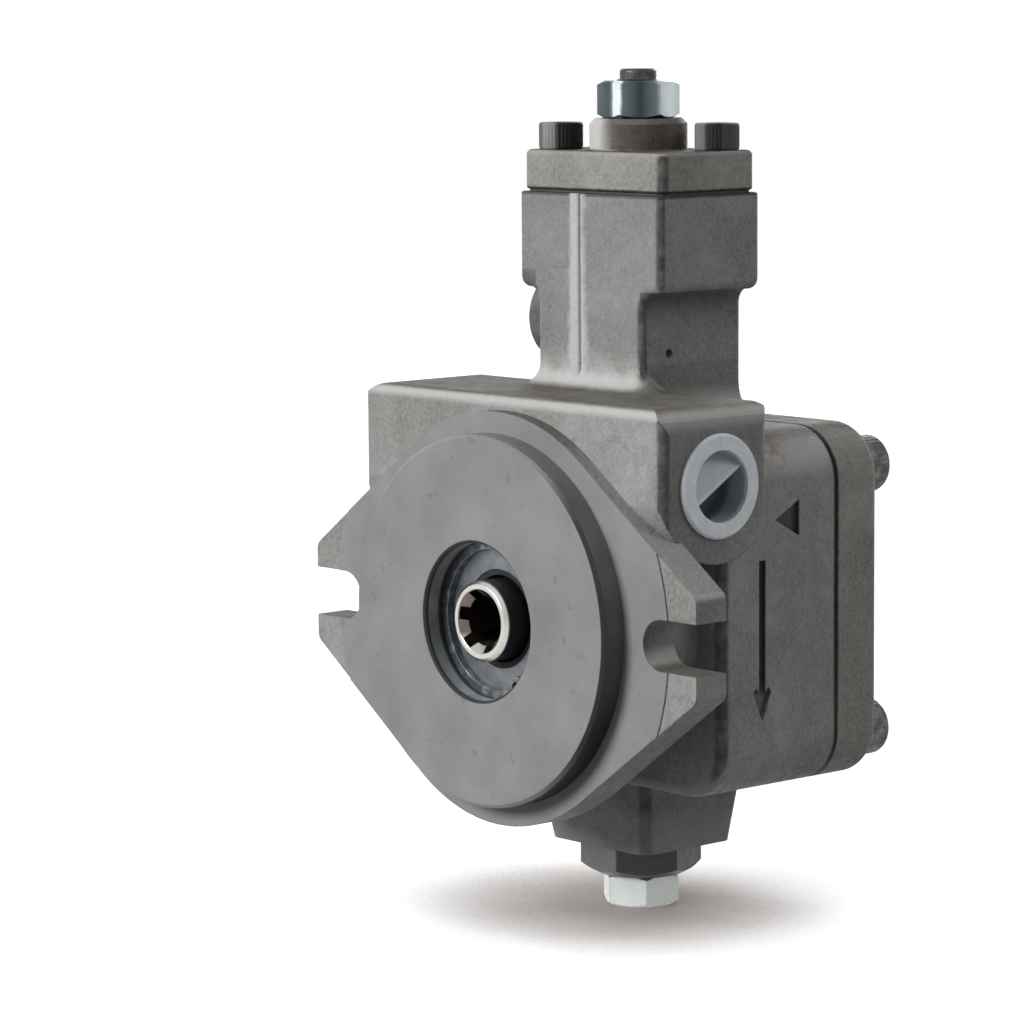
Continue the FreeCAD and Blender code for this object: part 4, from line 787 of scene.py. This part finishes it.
def socket_head(head_r, head, shank_r, shank, flats):
    """A maker of a socket screw along Z, with its seat at 0, a knurled head above and a shank below."""
    count = KNURLS * 4
    edge = 0.09 * head_r
    wave = [head_r - KNURL_DEPTH * (i % 4 > 1) for i in range(count)]
    smooth = [head_r - 0.4 * KNURL_DEPTH] * count

    def make(bm):
        tip = ring_of(bm, [shank_r - 0.6 * MM] * count, -shank)
        end = ring_of(bm, [shank_r] * count, -shank + 0.6 * MM)
        neck = ring_of(bm, [shank_r] * count, 0)
        under = ring_of(bm, [head_r - 0.3 * MM] * count, 0)
        low = ring_of(bm, smooth, 0.3 * MM)
        start = ring_of(bm, wave, 0.8 * MM)
        finish = ring_of(bm, wave, head - edge - 0.3 * MM)
        high = ring_of(bm, smooth, head - edge)
        rim = ring_of(bm, [head_r - 0.35 * edge] * count, head - 0.3 * edge)
        top = ring_of(bm, [head_r - edge] * count, head)
        rings = [tip, end, neck, under, low, start, finish, high, rim, top]
        for first, second in zip(rings, rings[1:]):
            join_rings(bm, first, second)
        bm.faces.new(tip[::-1])
        socket_rings(bm, top, head, flats, 0.55 * head)

    return make


def screw_centres(node):
    """The centres of a node's screws, from the loose parts of its mesh."""
    bm = bmesh.new()
    bm.from_mesh(nodes[node].data)
    bmesh.ops.remove_doubles(bm, verts=bm.verts, dist=0.001 * MM)
    left = set(bm.verts)
    centres = []
    while left:
        stack = [left.pop()]
        group = list(stack)
        while stack:
            for link in stack.pop().link_edges:
                for other in link.verts:
                    if other in left:
                        left.remove(other)
                        stack.append(other)
                        group.append(other)
        low = Vector([min(v.co[k] for v in group) for k in range(3)])
        high = Vector([max(v.co[k] for v in group) for k in range(3)])
        centres.append((low + high) / 2)
    bm.free()
    return sorted(centres, key=lambda c: tuple(round(v, 4) for v in c))


def socket_screws(node, seat, direction, sizes, materials):
    """Knurled socket screws in place of a node's plain ones, all seated at the same level.

    The materials are taken in turn, in the order of the screws' places.
    """
    head_r, head, shank_r, flats = sizes
    low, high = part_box(node)
    along = 1 if direction.y else 2
    shank = seat - low[along]
    turn = direction.to_track_quat("Z", "Y").to_matrix().to_4x4()
    for i, centre in enumerate(screw_centres(node)):
        place = centre.copy()
        place[along] = seat
        maker = socket_head(head_r, head, shank_r, shank, flats)
        material = materials[i % len(materials)]
        piece = new_piece(f"{node}_{i + 1}", maker, material, "housing")
        spin = Matrix.Rotation(0.35 + 0.9 * i, 4, "Z")
        piece.data.transform(Matrix.Translation(place) @ turn @ spin)
        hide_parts(node)


def iron_and_rubber():
    """Castings, seals and the plastic plug."""
    dress(housing_iron(), "body_casting")
    cover = cast_iron("cover_iron", (0.325, 0.318, 0.305), (0.18, 0.175, 0.165))
    dress(cover, "rear_cover", "tower_cap")
    dress(bronze(), "front_side_plate", "rear_side_plate", "front_bush", "rear_bush")
    dress(plated_steel("seal_steel", (0.21, 0.225, 0.245), (0.12, 0.13, 0.145), 0.42), "seal_case")
    dress(rubber(), "seal_lip", "cover_o_ring", "seat_o_ring", "flow_plug_o_ring")
    dress(gasket_fibre(), "cap_gasket")
    dress(plug_plastic(), "inlet_plug")


def steels():
    """Ground, sprung and plated steel."""
    steel = ground_steel("ground_steel", (0.62, 0.61, 0.59), 0.3 * MM)
    dress(steel, "plate_dowels", "thrust_block", "guide_block", "rotor_key", "rotor", "cam_ring")
    dress(steel, "compensator_piston", "spring_seat", "stop_plunger")
    dress(steel, *[name for name in nodes if name.startswith("vane_")])
    shaft = ground_steel("shaft_steel", (0.58, 0.575, 0.545), 0.25 * MM, shaft=True)
    dress(shaft, "drive_shaft")
    spring = dark_steel("spring_steel", (0.34, 0.36, 0.38), (0.12, 0.13, 0.14), 0.3)
    dress(spring, "shaft_snap_ring", "seal_garter", "seal_circlip", "compensator_spring")
    phosphate = (0.020, 0.022, 0.024), (0.145, 0.15, 0.15)
    # The flow plug and the lock nuts get painted reflections in bands round their axes.
    dress(reflection_banded_steel("phosphate_steel", *phosphate, PLUG_BANDS, 0.4, 0.4), "flow_plug")
    zinc = (0.026, 0.046, 0.052), (0.88, 0.95, 0.97)
    dress(reflection_banded_steel("zinc_nut", *zinc, TOP_BANDS), "pressure_lock_nut")
    bright = (0.45, 0.47, 0.47), (0.78, 0.82, 0.81)
    dress(reflection_banded_steel("bright_nut", *bright, LOW_BANDS, 0.25), "flow_lock_nut")
    plated = plated_steel("zinc_steel", (0.60, 0.66, 0.69), (0.42, 0.48, 0.51), 0.22)
    dress(plated, "pressure_screw", "flow_screw")


def fasteners():
    """Threads, knurls and sockets on the screws."""
    black = dark_steel("black_oxide", (0.16, 0.157, 0.152), (0.05, 0.05, 0.05), 0.38)
    worn = dark_steel("screw_steel", (0.11, 0.107, 0.104), (0.038, 0.038, 0.038), 0.36)
    x, y = CAP_SCREW_AT
    tones = (0.012, 0.012, 0.013), (0.27, 0.27, 0.265)
    left_axis = (-x, TOWER_Y - y)
    right_axis = (x, TOWER_Y + y)
    # Painted reflections in bands round each cap screw's axis.
    left = reflection_banded_steel("cap_screw_left", *tones, LEFT_SCREW_BANDS, 0.0, 0.5, left_axis, 0.15)
    right = reflection_banded_steel("cap_screw_right", *tones, RIGHT_SCREW_BANDS, 0.0, 0.5, right_axis, 0.15)
    cap_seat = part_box("cap_screws")[1].z - CAP_SCREW[1]
    socket_screws("cap_screws", cap_seat, Vector((0, 0, 1)), CAP_SCREW, (left, right))
    cover_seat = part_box("cover_screws")[1].y - COVER_SCREW[1]
    socket_screws("cover_screws", cover_seat, Vector((0, 1, 0)), COVER_SCREW, (black,))
    low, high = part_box("pressure_screw")
    screw_piece("pressure_thread", "pressure_screw", "pressure_screw", low.z, high.z, worn)
    low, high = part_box("flow_screw")
    screw_piece("flow_thread", "flow_screw", "flow_screw", high.z, low.z, worn)


def camera():
    """The camera at the place that the photograph was fitted to."""
    yaw, pitch, roll = CAMERA_YAW, CAMERA_PITCH, CAMERA_ROLL
    ahead = Vector((-math.sin(yaw) * math.cos(pitch), math.cos(yaw) * math.cos(pitch), -math.sin(pitch)))
    level = Vector((math.cos(yaw), math.sin(yaw), 0))
    above = level.cross(ahead)
    right = math.cos(roll) * level + math.sin(roll) * above
    up = -math.sin(roll) * level + math.cos(roll) * above
    data = bpy.data.cameras.new("camera")
    data.lens = CAMERA_LENS
    data.sensor_width = SENSOR
    data.clip_start = 0.05
    data.clip_end = 50
    made = bpy.data.objects.new("camera", data)
    bpy.context.scene.collection.objects.link(made)
    turn = Matrix((right, up, -ahead)).transposed().to_4x4()
    place = CAMERA_ACROSS * right + CAMERA_UP * up - CAMERA_FAR * ahead
    made.matrix_world = Matrix.Translation(place) @ turn
    bpy.context.scene.camera = made


def lamp(name, place, target, size, power):
    data = bpy.data.lights.new(name, "AREA")
    data.shape = "DISK"
    data.size = size
    data.energy = power
    made = bpy.data.objects.new(name, data)
    bpy.context.scene.collection.objects.link(made)
    made.location = place
    made.rotation_euler = (Vector(target) - Vector(place)).to_track_quat("-Z", "Y").to_euler()


def seen_directly(tree):
    """1 for rays of the camera, of mirrors and through glass, 0 for light that falls on things."""
    path = tree.nodes.new("ShaderNodeLightPath")
    total = None
    for name in ("Is Camera Ray", "Is Glossy Ray", "Is Transmission Ray"):
        if total is None:
            total = path.outputs[name]
            continue
        either = tree.nodes.new("ShaderNodeMath")
        either.operation = "MAXIMUM"
        tree.links.new(total, either.inputs[0])
        tree.links.new(path.outputs[name], either.inputs[1])
        total = either.outputs[0]
    return total


def world():
    """A white room as seen. Its light is weaker from the dark side."""
    made = bpy.data.worlds.new("studio")
    bpy.context.scene.world = made
    made.use_nodes = True
    tree = made.node_tree
    background = tree.nodes["Background"]
    seen = seen_directly(tree)
    tint = tree.nodes.new("ShaderNodeMix")
    tint.data_type = "RGBA"
    tree.links.new(seen, tint.inputs["Factor"])
    tint.inputs[6].default_value = (*ROOM_TINT, 1)
    tint.inputs[7].default_value = (1, 1, 1, 1)
    tree.links.new(tint.outputs[2], background.inputs["Color"])
    outwards = tree.nodes.new("ShaderNodeTexCoord")
    facing = tree.nodes.new("ShaderNodeVectorMath")
    facing.operation = "DOT_PRODUCT"
    tree.links.new(outwards.outputs["Generated"], facing.inputs[0])
    facing.inputs[1].default_value = DARK_SIDE
    room = tree.nodes.new("ShaderNodeMapRange")
    tree.links.new(facing.outputs["Value"], room.inputs["Value"])
    room.inputs["From Min"].default_value = 0.0
    room.inputs["From Max"].default_value = ROOM_TURN
    room.inputs["To Min"].default_value = ROOM_LIGHT
    room.inputs["To Max"].default_value = ROOM_DARK
    strength = tree.nodes.new("ShaderNodeMix")
    tree.links.new(seen, strength.inputs["Factor"])
    tree.links.new(room.outputs["Result"], strength.inputs["A"])
    strength.inputs["B"].default_value = 1.0
    tree.links.new(strength.outputs["Result"], background.inputs["Strength"])


def floor():
    """A white floor under the lower nut, with a painted shadow that darkens as more of the pump covers it.
    """
    bm = bmesh.new()
    bmesh.ops.create_grid(bm, x_segments=1, y_segments=1, size=4)
    mesh = bpy.data.meshes.new("floor")
    bm.to_mesh(mesh)
    bm.free()
    made = bpy.data.objects.new("floor", mesh)
    bpy.context.scene.collection.objects.link(made)
    made.location.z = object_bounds()[0].z
    material = bpy.data.materials.new("floor_white")
    material.use_nodes = True
    tree = material.node_tree
    shader = tree.nodes["Principled BSDF"]
    shader.inputs["Roughness"].default_value = 0.9
    shader.inputs["Specular IOR Level"].default_value = 0.0
    covered = tree.nodes.new("ShaderNodeAmbientOcclusion")
    covered.samples = 8
    covered.inputs["Distance"].default_value = SHADOW_REACH
    share = tree.nodes.new("ShaderNodeMapRange")
    mirrored = tree.nodes.new("ShaderNodeLightPath")
    clear = tree.nodes.new("ShaderNodeMath")
    clear.operation = "MAXIMUM"
    tree.links.new(covered.outputs["AO"], clear.inputs[0])
    tree.links.new(mirrored.outputs["Is Glossy Ray"], clear.inputs[1])
    tree.links.new(clear.outputs[0], share.inputs["Value"])
    share.inputs["From Min"].default_value = SHADOW_SHARE[0]
    share.inputs["From Max"].default_value = SHADOW_SHARE[1]
    tint = tree.nodes.new("ShaderNodeMix")
    tint.data_type = "RGBA"
    tree.links.new(share.outputs["Result"], tint.inputs["Factor"])
    tint.inputs[6].default_value = FLOOR_SHADOW
    tint.inputs[7].default_value = FLOOR_WHITE
    shader.inputs["Base Color"].default_value = FLOOR_GREY
    tree.links.new(tint.outputs[2], shader.inputs["Emission Color"])
    glow = tree.nodes.new("ShaderNodeMath")
    glow.operation = "MULTIPLY"
    tree.links.new(seen_directly(tree), glow.inputs[0])
    glow.inputs[1].default_value = FLOOR_GLOW
    tree.links.new(glow.outputs[0], shader.inputs["Emission Strength"])
    mesh.materials.append(material)
    made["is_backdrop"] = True


camera()
world()
iron_and_rubber()
steels()
fasteners()
floor()
for row in LAMPS:
    lamp(*row)
bpy.context.scene.view_settings.view_transform = "Standard"
